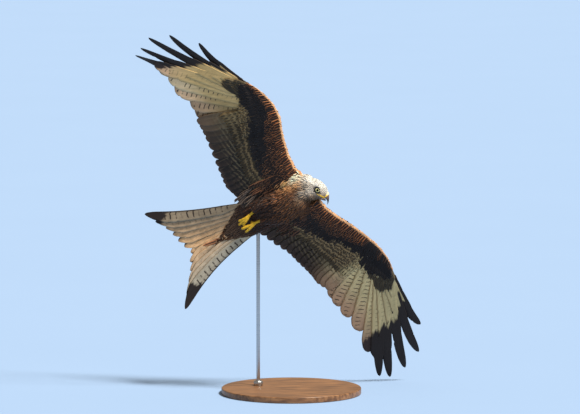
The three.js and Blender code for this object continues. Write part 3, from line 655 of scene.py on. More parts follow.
def steel_material():
    s = Shader("stand steel", roughness=0.3, specular=0.5, Metallic=1.0)
    x, y, z = s.split(s.place())
    lines = s.noise(s.join(s.times(x, 9.0), s.times(y, 9.0), s.times(z, 1400.0)), 1.0, 2.0)
    s.colour(s.mix(lines, linear(168, 170, 173), linear(196, 198, 200)))
    s.put(s.surface.inputs["Roughness"], s.step(lines, 0.2, 0.8, 0.24, 0.38))
    s.bump(lines, 0.05, 0.0002)
    return s.material


def floor_material():
    s = Shader("floor", roughness=0.85, specular=0.1)
    mottle = s.noise(s.place(), 1.4, 4.0)
    s.colour(s.mix(mottle, linear(142, 168, 202), linear(144, 170, 204)))
    return s.material


# Camera at the photo's height and framing, far off for flat perspective
CAMERA_DISTANCE = 14.0
CAMERA_RISE = rad(6)
FRAME_WIDTH = 1.856
FRAME_MIDDLE = Vector((-0.0044, -0.0329, 0.6074))
SENSOR_WIDTH = 36
camera = bpy.data.objects.new("camera", bpy.data.cameras.new("camera"))
bpy.context.scene.collection.objects.link(camera)
camera.data.sensor_width = SENSOR_WIDTH
camera.data.lens = SENSOR_WIDTH * CAMERA_DISTANCE / FRAME_WIDTH
camera.location = FRAME_MIDDLE + CAMERA_DISTANCE * Vector((0, -math.cos(CAMERA_RISE), math.sin(CAMERA_RISE)))
camera.rotation_euler = (math.pi / 2 - CAMERA_RISE, 0, 0)
camera.data.clip_end = 300
bpy.context.scene.camera = camera


# The head's own frame, measured from the middle between the eyes
head_forward = unit(np.array(BILL_DIRECTION))
head_left = unit(np.cross(np.array(CROWN_DIRECTION), head_forward))
head_up = np.cross(head_forward, head_left)
head_at = np.array(HEAD_AT, float)


def head_point(forward, up, left=0.0):
    forward, up, left = (np.asarray(v, float)[..., None] for v in (forward, up, left))
    return head_at + forward * head_forward + up * head_up + left * head_left


def head_coordinates(p):
    q = p - head_at
    return q @ head_forward, q @ head_up, q @ head_left


# Body surfaces as rings, made smaller all round by a depth
TRUNK_RINGS, NECK_RINGS, HEAD_RINGS, RUMP_RINGS, THROAT_RINGS = 40, 24, 36, 40, 30


def trunk_axes(x):
    """The trunk's left and upward directions at x, rolled as its section is there."""
    roll = np.interp(-np.asarray(x, float), [40, 230], [rad(ROLL_FRONT), rad(ROLL_REAR)])
    zero = np.zeros_like(roll)
    left = np.stack([zero, np.cos(roll), np.sin(roll)], -1)
    up = np.stack([zero, -np.sin(roll), np.cos(roll)], -1)
    return left, up


def trunk_rings(depth):
    rows = spline(TRUNK, TRUNK_RINGS)
    left, up = trunk_axes(rows[:, 0])
    return ellipses(rows[:, :3], left * (rows[:, 3:4] - depth), up * (rows[:, 4:5] - depth))


def neck_rings(depth):
    rows = spline(NECK, NECK_RINGS)
    run = unit(np.gradient(rows[:, :3], axis=0))
    left = unit(np.cross([0, 0, 1], run))
    up = np.cross(run, left)
    radius = rows[:, 3:4] - depth
    return ellipses(rows[:, :3], left * radius, up * radius)


def head_rings(depth):
    rows = spline(HEAD, HEAD_RINGS)
    middles = head_point(rows[:, 0], (rows[:, 1] + rows[:, 2]) / 2)
    across = head_left * (rows[:, 3:4] - depth)
    upright = head_up * ((rows[:, 1:2] - rows[:, 2:3]) / 2 - depth)
    return ellipses(middles, across, upright)


def tail_frame():
    """The tail's backward, left and upward directions."""
    back = heading(180 - TAIL_YAW, TAIL_PITCH, 1)
    level = unit(np.array([0, 1, 0]) - back * back[1])
    over = -np.cross(back, level)
    left = turned(level, over, rad(TAIL_TWIST))
    return back, left, np.cross(left, back)


def rump_rings(depth):
    back, left, up = tail_frame()
    rows = spline(RUMP, RUMP_RINGS)
    sideways = np.maximum(rows[:, :1], 0) * left * RUMP_SKEW / RUMP[-1][0]
    middles = np.array(TAIL_ROOT) + rows[:, :1] * back + sideways
    wide = np.maximum(rows[:, 1:2] - depth, 1.5)
    deep = np.maximum(rows[:, 2:3] - depth, 0.8)
    return ellipses(middles, left * wide, up * deep)


def throat_rings(depth):
    rows = np.array(THROAT)
    return limb_rings(head_point(rows[:, 0], rows[:, 1]), rows[:, 2], THROAT_RINGS, 28, depth)


def limb_rings(points, radii, count=24, sides=20, depth=0.0, pads=0.0):
    """Round rings along a curve through points; pads swells it three times, as under a toe."""
    rows = spline(points, count)
    run = unit(np.gradient(rows, axis=0))
    across = unit(np.cross([0, 0, 1], run))
    up = np.cross(run, across)
    share = np.linspace(0, 1, count)
    radius = np.interp(share, np.linspace(0, 1, len(radii)), radii) - depth
    radius = (radius * (1 + pads * np.sin(share * math.pi * 6) ** 2))[:, None]
    return ellipses(rows, across * radius, up * radius, sides)


# Wing skeleton
def heading(angle, rise, side):
    """A direction from its angle off straight ahead, towards one side, and its rise."""
    level = np.array([math.cos(rad(angle)), side * math.sin(rad(angle)), 0])
    return turned(level, np.array([0, 0, 1.0]), rad(rise))


def skeleton(wing):
    """The joints of a wing, and the outward, rearward and upward directions of its hand."""
    side = wing["side"]
    shoulder = np.array([SHOULDER[0], side * SHOULDER[1], SHOULDER[2]], float)
    elbow = shoulder + HUMERUS * heading(wing["humerus"], HUMERUS_RISE, side)
    wrist = elbow + ULNA * heading(wing["ulna"], ULNA_RISE, side)
    hand = heading(wing["hand"], HAND_RISE, side)
    flat = heading(wing["hand"] + 90, 0, side)
    flat = unit(flat - hand * flat.dot(hand))
    above = np.cross(hand, flat) * side
    rear = turned(flat, above, -rad(WING_PITCH))
    up = turned(above, flat, rad(WING_PITCH))
    return {"shoulder": shoulder, "elbow": elbow, "wrist": wrist, "hand": hand, "rear": rear, "up": up}


for wing in WINGS.values():
    wing["bones"] = skeleton(wing)


def wing_height(wing, x, out):
    """Height of the wing's middle surface: along its bones, and lower towards the rear."""
    s, e, w = (wing["bones"][joint] for joint in ("shoulder", "elbow", "wrist"))
    outs = [abs(s[1]), abs(e[1]), abs(w[1]), abs(w[1]) + HAND_REACH]
    heights = [s[2], e[2], w[2], w[2] + HAND_REACH * math.tan(rad(HAND_RISE))]
    inner = (np.minimum(out, outs[0]) - outs[0]) * (e[2] - s[2]) / (outs[1] - outs[0])
    return np.interp(out, outs, heights) + inner - (PITCH_AXIS - x) * math.tan(rad(WING_PITCH))


def front_edge(wing, out):
    return np.interp(out, ARM_OUT, wing["front"])


def rear_edge(out):
    return np.interp(out, ARM_OUT, ARM_BACK)


def arm_thickness(out):
    return np.interp(out, ARM_OUT, ARM_THICK)


# The arm's section: b is the share of the chord behind the front edge, and sqrt(b) * (1 - b) its thickness
ARM_RINGS, ARM_SIDES = 60, 32
SECTION_PEAK = 0.385
ARM_CAMBER = 5
THINNEST_ARM = 1.5


def arm_rings(wing, depth):
    """The arm's flesh: it ends short of the covered arm's thin rear edge."""
    outs = np.linspace(ARM_OUT[0], ARM_OUT[-1] - 3, ARM_RINGS)
    turn = full_turn(ARM_SIDES)
    back = (1 - np.cos(turn)) / 2
    rings = []
    for out in outs:
        front = front_edge(wing, out) - depth * 0.8
        rear = rear_edge(out)
        thick = arm_thickness(out)
        b = 0.02 + back * 0.80
        half = (thick / 2 - min(depth, thick * 0.25)) * np.sqrt(b) * (1 - b) / SECTION_PEAK
        half = np.maximum(half, THINNEST_ARM)
        half = half * np.sqrt(np.abs(np.sin(turn)))
        x = front - back * 0.82 * (front - rear)
        z = wing_height(wing, x, out) + ARM_CAMBER * np.sin(np.pi * b) + np.sign(np.sin(turn)) * half
        rings.append(np.column_stack([x, np.full(ARM_SIDES, wing["side"] * out), z]))
    return np.array(rings)


# Paths of flight feathers: middle line, direction of the leading edge, upward direction, the widths of both
# vanes and the length, at shares s of the length
FINGER_WIDTHS, INNER_LEAD, INNER_TRAIL = (11, 34), 14, [38, 27]
SECONDARY_WIDTHS, EDGE_POINTS = (15, 27), 200
TAIL_LEAD, TAIL_TRAIL, TAIL_CUT = [17, 9], [19, 34], [34, 72]


def vane_outline(s, width, tip_start, power=2.4):
    """A vane's width: narrow at the root and rounded beyond tip_start."""
    root = np.minimum(1, 0.35 + s * 3)
    tip = np.sqrt(np.maximum(0, 1 - np.clip((s - tip_start) / (1 - tip_start), 0, 1) ** power))
    return width * root * tip


def primary(wing, k, s):
    """A primary of rank k from the inner one out; beyond the wing's edge it slims to a twisted finger."""
    bones = wing["bones"]
    share = k / (PRIMARIES - 1)
    ranks = np.arange(PRIMARIES)
    angle = rad(np.interp(k, ranks, wing["fan"]))
    length = np.interp(k, ranks, wing["primary"])
    free = np.interp(k, ranks, FINGER)
    run = turned(bones["hand"], bones["rear"], angle)
    leading = turned(-bones["rear"], bones["hand"], angle)
    root = bones["wrist"] + bones["hand"] * (5 + 0.95 * HAND * share)
    bend = BEND_INNER + (BEND_OUTER - BEND_INNER) * (0.36 * share + 0.64 * share * share)
    bow = length * wing["tip_bow"] * np.clip(k - 7, 0, 2) / 2
    turn = np.interp(k, ranks, [0] * FIRST_FINGER + wing["twist"])
    mm = s * length
    twist = np.radians(LOUVRE + turn * smooth(mm, length - free - 50, length - free * 0.3))

    # The middle line bends upward and a little towards the wing's tip
    mid = root + run * (length * (s - 0.6 * bend**2 * s**3))[:, None]
    mid = mid + bones["up"] * (length * bend * s * s)[:, None] - leading * (bow * s * (1 - s))[:, None]
    lead = turned(leading, bones["up"], -twist)
    up = turned(bones["up"], leading, twist)

    # A primary that ends in a finger slims where it leaves the wing's edge
    slim_lead, slim_trail = wing["finger"]
    if free > SHORTEST_FINGER:
        freed = smooth(mm, length - free - 22, length - free + 8)
        lead_width = vane_outline(s, np.interp(freed, [0, 1], [FINGER_WIDTHS[0], slim_lead]), 0.86, 1.9)
        trail_width = vane_outline(s, np.interp(freed, [0, 1], [FINGER_WIDTHS[1], slim_trail]), 0.76, 1.7)
    else:
        lead_width = vane_outline(s, INNER_LEAD, 0.93, 2.0)
        trail_width = vane_outline(s, np.interp(k, [3, 4], INNER_TRAIL), 0.80)
    return mid, lead, up, lead_width, trail_width, length


def secondary(wing, share, s):
    """A secondary, from the outermost at share 0 to the innermost at 1; its tip is on the trailing line."""
    bones = wing["bones"]
    edge = spline(wing["trailing"], EDGE_POINTS)
    place = (1 - share) * (EDGE_POINTS - 1)
    tip = np.array([np.interp(place, np.arange(EDGE_POINTS), edge[:, k]) for k in (0, 1)])
    tip[1] *= wing["side"]
    joints = [bones["wrist"], bones["elbow"], bones["shoulder"]]
    reach = [0, *np.cumsum([np.linalg.norm(a - b) for a, b in zip(joints, joints[1:])])]
    root = np.array([np.interp(share * 0.86 * reach[-1], reach, [j[k] for j in joints]) for k in (0, 1)])
    run = tip - root
    length = float(np.linalg.norm(run))
    leading = unit(np.array([run[1], -run[0]])) * wing["side"]
    flat = root + run * s[:, None]

    def on_wing(q):
        return np.column_stack([q, wing_height(wing, q[:, 0], np.abs(q[:, 1]))])

    slope = (on_wing(flat + 10 * leading)[:, 2] - on_wing(flat - 10 * leading)[:, 2]) / 20
    mid = on_wing(flat)
    lead = unit(np.column_stack([np.tile(leading, (len(s), 1)), slope - math.sin(rad(LOUVRE))]))
    along = unit(np.tile(mid[-1] - mid[0], (len(s), 1)))
    up = np.cross(lead, along) * wing["side"]
    return mid, lead, up, *(vane_outline(s, width, 0.8) for width in SECONDARY_WIDTHS), length


def tail_feather(side, rank, s):
    """A tail feather; the outer ones are longer, bowed and cut off obliquely."""
    back, left, up = tail_frame()
    ranks = np.arange(TAIL_PAIRS) + 0.5
    share = rank / (TAIL_PAIRS - 0.5)
    angle = rad(TAIL_SPREAD * share)
    out = left * side
    run = turned(back, out, angle)
    leading = turned(out, back, -angle)
    length = float(np.interp(rank, ranks, TAIL_LENGTHS[side]))
    root = np.array(TAIL_ROOT) + out * TAIL_ROOT_HALF * share - up * 0.5 * rank
    bow = length * share * TAIL_BOW[side]
    tilt = rad(LOUVRE)
    mid = root + run * (length * s)[:, None] - leading * (bow * s * (1 - s))[:, None]
    lead = np.tile(turned(leading, up, -tilt), (len(s), 1))
    over = np.tile(turned(up, leading, tilt), (len(s), 1))
    grow = 0.6 + 0.4 * s
    lead_width = vane_outline(s, np.interp(share, [0, 1], TAIL_LEAD), 0.84) * grow
    oblique = np.clip(length * (1 - s) / np.interp(share, [0, 1], TAIL_CUT), 0, 1) ** 0.72
    trail_width = np.interp(share, [0, 1], TAIL_TRAIL) * np.minimum(1, 0.35 + s * 3) * oblique * grow
    return mid, lead, over, lead_width, trail_width, length


# Many feathers as one mesh of closed thin vanes
def vane_template(across, along):
    """Corners of a closed vane: upper grid, then the under grid's inner points; the rim is shared."""
    upper = np.arange((along + 1) * (across + 1)).reshape(along + 1, across + 1)
    under = upper.copy()
    inner = np.arange((along - 1) * (across - 1)).reshape(along - 1, across - 1)
    under[1:-1, 1:-1] = inner + upper.size

    def quads(grid):
        return np.stack([grid[:-1, :-1], grid[:-1, 1:], grid[1:, 1:], grid[1:, :-1]], -1).reshape(-1, 4)

    top = quads(upper)
    bottom = quads(under)[:, ::-1]
    c, t = np.meshgrid(np.linspace(0, 1, across + 1), np.linspace(0, 1, along + 1))
    flat_uv = np.stack([c, t], -1).reshape(-1, 2)
    uv = flat_uv[np.vstack([top, top[:, ::-1]])].reshape(-1, 2)
    return np.vstack([top, bottom]), uv, len(top)


def build_vanes(name, feathers, across, along, patch, material, slot, nodes=(), strips=False):
    """Closed vanes. feathers holds arrays with one row for each feather: mid, lead and up as points along it,
    lead_width and trail_width, thick, droop, root_uv, and the colours and numbers that the material reads."""
    mid, lead, up = feathers["mid"], feathers["lead"], feathers["up"]
    count = len(mid)

    # A vane droops a little to both sides of its shaft, is thickest along the shaft and thins to its rim
    c = np.linspace(-1, 1, across + 1)[None, None, :, None]
    lead_width, trail_width = (feathers[key][:, :, None, None] for key in ("lead_width", "trail_width"))
    wide = np.where(c > 0, lead_width, trail_width)
    thick = feathers["thick"][:, None, None, None] * np.linspace(1, 0.45, along + 1)[None, :, None, None]
    droop = feathers["droop"][:, None, None, None]
    flat = mid[:, :, None] + lead[:, :, None] * c * wide - up[:, :, None] * droop * c * c * wide
    body = thick * (0.35 * (1 - c * c) + 0.65 * np.exp(-((c / 0.1) ** 2)))
    within = np.zeros((1, along + 1, across + 1, 1))
    within[:, 1:-1, 1:-1] = 1
    top = flat + up[:, :, None] * body * within
    bottom = flat - up[:, :, None] * body * within
    points = np.concatenate([top.reshape(count, -1, 3), bottom[:, 1:-1, 1:-1].reshape(count, -1, 3)], 1)

    # The same faces for every vane, turned round on those of the other wing
    quads, uv, tops = vane_template(across, along)
    per = points.shape[1]
    along_line = np.gradient(mid, axis=1)
    mirrored = (np.cross(lead, along_line) * up).sum((1, 2)) < 0
    faces = np.where(mirrored[:, None, None], quads[None, :, ::-1], quads[None])
    uv_faces = uv.reshape(-1, 4, 2)
    vane_uv = np.where(mirrored[:, None, None, None], uv_faces[None, :, ::-1], uv_faces[None]).reshape(-1, 2)
    corners = (faces + np.arange(count)[:, None, None] * per).ravel()
    obj = make_object(name, points.reshape(-1, 3), corners, np.full(count * len(quads), 4))
    set_uv(obj, "Vane", vane_uv)
    set_uv(obj, "OFBake", bake_patches(feathers, vane_uv, count, patch, tops, strips))

    # What the material reads at each point of a feather
    for key in ("ground", "edge", "mark", "upper"):
        if key in feathers:
            set_attribute(obj, key, "FLOAT_COLOR", np.repeat(feathers[key], per, 0))
    for key in ("lead_dark", "root_dark"):
        if key in feathers:
            set_attribute(obj, key, "FLOAT", np.repeat(feathers[key], per))
    set_attribute(obj, "form", "FLOAT_VECTOR", np.repeat(feathers["form"], per, 0))
    set_attribute(obj, "seed", "FLOAT", np.repeat(rng.uniform(0, 60, count), per))
    side = np.tile(np.repeat([0.0, 1.0], [tops, len(quads) - tops]), count)
    set_attribute(obj, "under_side", "FLOAT", side, "FACE")
    return finish_piece(obj, material, slot, *nodes)


def bake_patches(feathers, local, count, patch, tops, strips):
    """Each feather's place on the texture: a small patch at its root's place, or a strip of its own."""
    corners = len(local) // count
    if not strips:
        return np.repeat(feathers["root_uv"], corners, 0) + (local - 0.5) * patch
    wide = 1 / (2 * count)
    under = np.repeat([0, 1], [tops * 4, corners - tops * 4])
    column = (2 * np.arange(count)[:, None] + under[None]).ravel()
    return np.column_stack([(column + 0.08 + 0.84 * local[:, 0]) * wide, 0.01 + 0.98 * local[:, 1]])


def stack(rows):
    """A list of dictionaries of arrays as one dictionary of stacked arrays."""
    return {key: np.array([row[key] for row in rows]) for key in rows[0]}


# Waves along a vane's edge: how fast each goes and its strength; then how long a split is, as a share
RUFFLE_WAVES = [(17, 0.5), (41, 0.35), (83, 0.25)]
SPLIT_LENGTH = 0.010


def ruffle(widths, strength, notches):
    """Uneven vane edges: slow waves, and now and then a split between barbs."""
    count, steps = widths.shape
    t = np.linspace(0, 1, steps)[None]
    waves = sum(np.sin(t * f + rng.uniform(0, 6.3, (count, 1))) * a for f, a in RUFFLE_WAVES)
    shape = 1 + strength * waves
    for _ in range(2):
        at = rng.uniform(0.35, 0.97, (count, 1))
        deep = notches * (rng.random((count, 1)) < 0.5)
        shape = shape - deep * np.exp(-(((t - at) / SPLIT_LENGTH) ** 2))
    return widths * shape


# Skin: one closed surface for all that is flesh
FLESH_VOXEL, LEG_VOXEL = 2.3, 0.75


def remeshed(parts, voxel, rounds):
    """Closed tubes melted into one surface, smoothed; points in the bird's frame."""
    mould = make_object("mould", *join_tubes(parts))
    remesh = mould.modifiers.new("remesh", "REMESH")
    remesh.mode = "VOXEL"
    remesh.voxel_size = voxel / 1000
    soften = mould.modifiers.new("soften", "SMOOTH")
    soften.factor = 0.5
    soften.iterations = rounds
    mesh = bpy.data.meshes.new_from_object(mould.evaluated_get(bpy.context.evaluated_depsgraph_get()))
    points = np.empty(len(mesh.vertices) * 3, np.float32)
    corners = np.empty(len(mesh.loops), np.int32)
    sizes = np.empty(len(mesh.polygons), np.int32)
    mesh.vertices.foreach_get("co", points)
    mesh.loops.foreach_get("vertex_index", corners)
    mesh.polygons.foreach_get("loop_total", sizes)
    bpy.data.objects.remove(mould)
    bpy.data.meshes.remove(mesh)
    return points.reshape(-1, 3) @ FROM_WORLD[:3, :3].T + FROM_WORLD[:3, 3], corners, sizes


def bump_at(a, b, centre, size):
    """A soft bump of height 1 on two coordinates."""
    return np.exp(-(((a - centre[0]) / size[0]) ** 2) - ((b - centre[1]) / size[1]) ** 2)


def sculpt_face(points):
    """Eye sockets, brow ridges, hollow lores and full cheeks, on both sides of the head."""
    forward, up, left = head_coordinates(points)
    inside = (np.abs(forward) < 45) & (np.abs(up) < 42) & (np.abs(left) < 34)
    pit = 6.5 * smooth(np.hypot(forward, up), 8.6, 6.0)
    brow = 1.7 * bump_at(forward, up, (3, 9.5), (10, 3.4))
    lores = 1.6 * bump_at(forward, up, (18, 0), (6, 6))
    cheek = 1.2 * bump_at(forward, up, (-6, -13), (13, 7))
    out = (brow + cheek - pit - lores) * inside * smooth(np.abs(left), 5, 12)
    return points + head_left * (np.sign(left) * out)[:, None]


def toe_path(end, tip):
    """From the shank's end down over the toe's joint to its tip, where it bends up into the claw."""
    end, tip = np.array(end, float), np.array(tip, float)
    return [end, end + (tip - end) * 0.5 + (0, 0, -4), tip, tip + (1, 0, 5)]


def foot_tips(foot):
    """Tips of the three front toes and the hind toe."""
    end = np.array(foot["shank"][1])
    return [np.array(tip) for tip in foot["tips"]] + [end + (-14, foot["side"] * -5, 7)]


def leg_tubes(foot):
    top, end = np.array(foot["shank"][0], float), np.array(foot["shank"][1], float)
    tubes = [tube(limb_rings([top, (top + end) / 2, end], SHANK_RADIUS, 24, 20))]
    for tip in foot_tips(foot):
        radii = [SHANK_RADIUS[1] * 0.9, *TOE_RADIUS]
        tubes.append(tube(limb_rings(toe_path(end, tip), radii, 30, 16, pads=0.14)))
    return tubes


def build_skin():
    """The flesh under the coat, and the bare legs on a finer grid."""
    rings = [trunk_rings(DEPTH_TRUNK), neck_rings(DEPTH_NECK), rump_rings(DEPTH_RUMP)]
    rings += [head_rings(DEPTH_HEAD), throat_rings(DEPTH_NECK)]
    rings += [arm_rings(wing, DEPTH_ARM) for wing in WINGS.values()]
    rings += [limb_rings(foot["thigh"], THIGH_RADIUS, 24, 24, DEPTH_THIGH) for foot in FEET.values()]
    points, corners, sizes = remeshed([tube(one) for one in rings], FLESH_VOXEL, 6)
    legs = remeshed([part for foot in FEET.values() for part in leg_tubes(foot)], LEG_VOXEL, 3)
    return (sculpt_face(points), corners, sizes), legs


# Flow of the coat: from the bill over the neck to the tail
FLOW = np.array([
    *(head_point(forward, 0) for forward in (40, 20, 0, -25)),
    (-5, -20, 18), (-22, -12, 18), (-50, -2, 10), (-90, -3, 7), (-140, -6, 9), (-190, -12, 15),
    (-240, -18, 22), (-300, -24, 26), (-360, -30, 30),
])


def flow_direction(points):
    """The way feathers point, from the nearest stretches of the flow line."""
    middles = (FLOW[1:] + FLOW[:-1]) / 2
    steps = unit(FLOW[1:] - FLOW[:-1])
    gap = np.linalg.norm(points[:, None] - middles[None], axis=2)
    weight = np.exp(-((gap / 26) ** 2)) + 1e-6 * np.exp(-gap / 40)
    return unit((weight[:, :, None] * steps[None]).sum(1))


def on_surface(directions, normals):
    """Directions laid flat on a surface."""
    return unit(directions - normals * (directions * normals).sum(-1, keepdims=True))


TRIES_PER_ROOT = 9


class Surface:
    """A closed surface to scatter roots on and to lay feathers along."""

    def __init__(self, points, corners, sizes):
        starts = face_starts(sizes)
        faces = [corners[a:a + n].tolist() for a, n in zip(starts, sizes)]
        self.tree = BVHTree.FromPolygons(points.tolist(), faces)
        quads = corners[(starts[sizes == 4])[:, None] + np.arange(4)]
        tris = corners[(starts[sizes == 3])[:, None] + np.arange(3)]
        self.triangles = points[np.vstack([quads[:, [0, 1, 2]], quads[:, [0, 2, 3]], tris])]
        a, b, c = (self.triangles[:, k] for k in range(3))
        across = np.cross(b - a, c - a)
        self.areas = np.linalg.norm(across, axis=1) / 2
        self.normals = unit(across)

    def scatter(self, wanted, spacing):
        """Roots no closer to each other than the spacing asks, where wanted says so."""
        middles = self.triangles.mean(1)
        chosen = wanted(middles, self.normals)
        density = np.where(chosen, self.areas / spacing(middles) ** 2, 0)
        count = int(density.sum() * TRIES_PER_ROOT)
        pick = rng.choice(len(density), count, p=density / density.sum())
        a, b = rng.random((2, count, 1))
        flip = (a + b) > 1
        a, b = np.where(flip, 1 - a, a), np.where(flip, 1 - b, b)
        corner = self.triangles[pick]
        points = corner[:, 0] + a * (corner[:, 1] - corner[:, 0]) + b * (corner[:, 2] - corner[:, 0])
        tree = KDTree(count)
        for k, p in enumerate(points):
            tree.insert(p, k)
        tree.balance()
        reach = spacing(points)
        alive = np.ones(count, bool)
        kept = []
        for k in range(count):
            if alive[k]:
                kept.append(k)
                for _, j, _ in tree.find_range(points[k], reach[k]):
                    alive[j] = False
        return points[kept], self.normals[pick[kept]]

    def lay(self, roots, normals, directions, lengths, lift, steps):
        """Middle lines that follow the surface; a line that runs off its end keeps its heading."""
        count = len(roots)
        mid = np.empty((count, steps + 1, 3))
        over = np.empty((count, steps + 1, 3))
        for k in range(count):
            p, n, d = roots[k], normals[k], directions[k]
            step = lengths[k] / steps
            mid[k, 0], over[k, 0] = p, n
            for j in range(1, steps + 1):
                q = p + d * step
                hit, normal, _, gap = self.tree.find_nearest(q)
                if gap < 0.8 * step + 2:
                    q, n = np.array(hit), unit(0.5 * n + 0.5 * np.array(normal))
                d = unit(0.6 * unit(q - p) + 0.4 * d)
                d = unit(d - n * d.dot(n))
                mid[k, j], over[k, j] = q, n
                p = q
        t = np.linspace(0, 1, steps + 1)[None, :, None]
        mid = mid + over * lift[:, None, None] * (t**0.75 - 0.10 * t**3)
        return mid, over


def squared(mid, over, roll):
    """Sideways and upward directions along middle lines, rolled a little about each line."""
    along = unit(np.gradient(mid, axis=1))
    up = unit(over - along * (over * along).sum(-1, keepdims=True))
    lead = np.cross(along, up)
    return turned(lead, up, roll[:, None]), turned(up, -lead, roll[:, None])


def contour_outline(steps, half, pointed):
    """A body feather's half width, from a round tip to a spear's at pointed 1."""
    t = np.linspace(0, 1, steps + 1)[None]
    body = np.minimum(1, 0.35 + 2.4 * t)
    tip = np.sqrt(np.maximum(0, 1 - np.clip((t - 0.5) / 0.5, 0, 1) ** 2.3))
    spear = np.clip(1.25 * (1 - t) ** 0.8, 0, 1)
    shape = body * np.minimum(tip, spear * pointed[:, None] + (1 - pointed[:, None]))
    return half[:, None] * shape


# Places on the texture, on unwrapped skin: the trunk's chart on the left, the head's in the middle with the
# legs' above it, and the wings' on the right
def body_chart(points):
    """Angle round the body's line and distance along it; the head is unwrapped round its own line."""
    forward, up, left = head_coordinates(points)
    head = (forward > -30) & (points[:, 0] > -25)
    angle = np.arctan2(points[:, 1] + 8, points[:, 2] - 10) / (2 * np.pi) + 0.5
    trunk_uv = np.column_stack([0.01 + 0.43 * angle, np.clip((points[:, 0] + 400) / 440, 0.01, 0.99)])
    turn = np.arctan2(left, up) / (2 * np.pi) + 0.5
    head_uv = np.column_stack([0.46 + 0.2 * turn, np.clip((forward + 55) / 110, 0.01, 0.99) * 0.62])
    return np.where(head[:, None], head_uv, trunk_uv)


def wing_chart(points, over):
    """Distance out and distance back, one chart for each face of each wing."""
    out = np.abs(points[:, 1])
    side = np.where(points[:, 1] > 0, 0.0, 1.0)
    strip = np.clip((points[:, 0] + 230) / 300, 0.01, 0.99)
    u = 0.68 + 0.16 * side + 0.08 * (over > 0) + 0.07 * strip
    return np.column_stack([u, np.clip((out - 40) / 420, 0.01, 0.99)])


def leg_chart(points, normals):
    turn = np.arctan2(normals[:, 1], normals[:, 2]) / (2 * np.pi) + 0.5
    return np.column_stack([0.46 + 0.2 * turn, 0.64 + 0.34 * np.clip((points[:, 0] + 260) / 100, 0, 1)])


def skin_chart(points, normals):
    wing = np.abs(points[:, 1]) > 62
    return np.where(wing[:, None], wing_chart(points, normals[:, 2]), body_chart(points))


# Colours of the coat at places on the body
def trunk_colours(x, normals, back):
    """Ground and fringe of the trunk's feathers, from the breast to the vent and over the back."""
    # lit paints light and shade: feathers facing LIGHT_SIDE are lighter and those facing away darker. The
    # belly and its fringe are also made darker towards the front of the breast
    lit = 0.75 + 0.25 * smooth(normals @ LIGHT_SIDE, -0.5, 0.3)
    belly = blend(BREAST, DARK_RUFOUS, smooth(-x, 55, 120))
    belly = blend(belly, VENT, smooth(-x, 190, 235))
    belly = belly * (lit * np.interp(-x, [50, 110, 200, 235], [0.36, 0.80, 0.80, 0.8]))[:, None]
    belly_edge = blend(ORANGE_EDGE, RUFOUS * 0.55, smooth(-x, 45, 95))
    belly_edge = blend(belly_edge, VENT_EDGE, smooth(-x, 200, 240))
    belly_edge = belly_edge * (lit * np.interp(-x, [50, 120, 200, 235], [0.62, 0.9, 0.9, 0.9]))[:, None]
    upper = blend(BUFF, MANTLE, smooth(-x, 22, 62))
    upper = blend(upper, RUMP_BROWN, smooth(-x, 205, 245))
    upper_edge = blend(BUFF, RUFOUS, smooth(-x, 30, 80))
    return blend(belly, upper, back), blend(belly_edge, upper_edge, back)


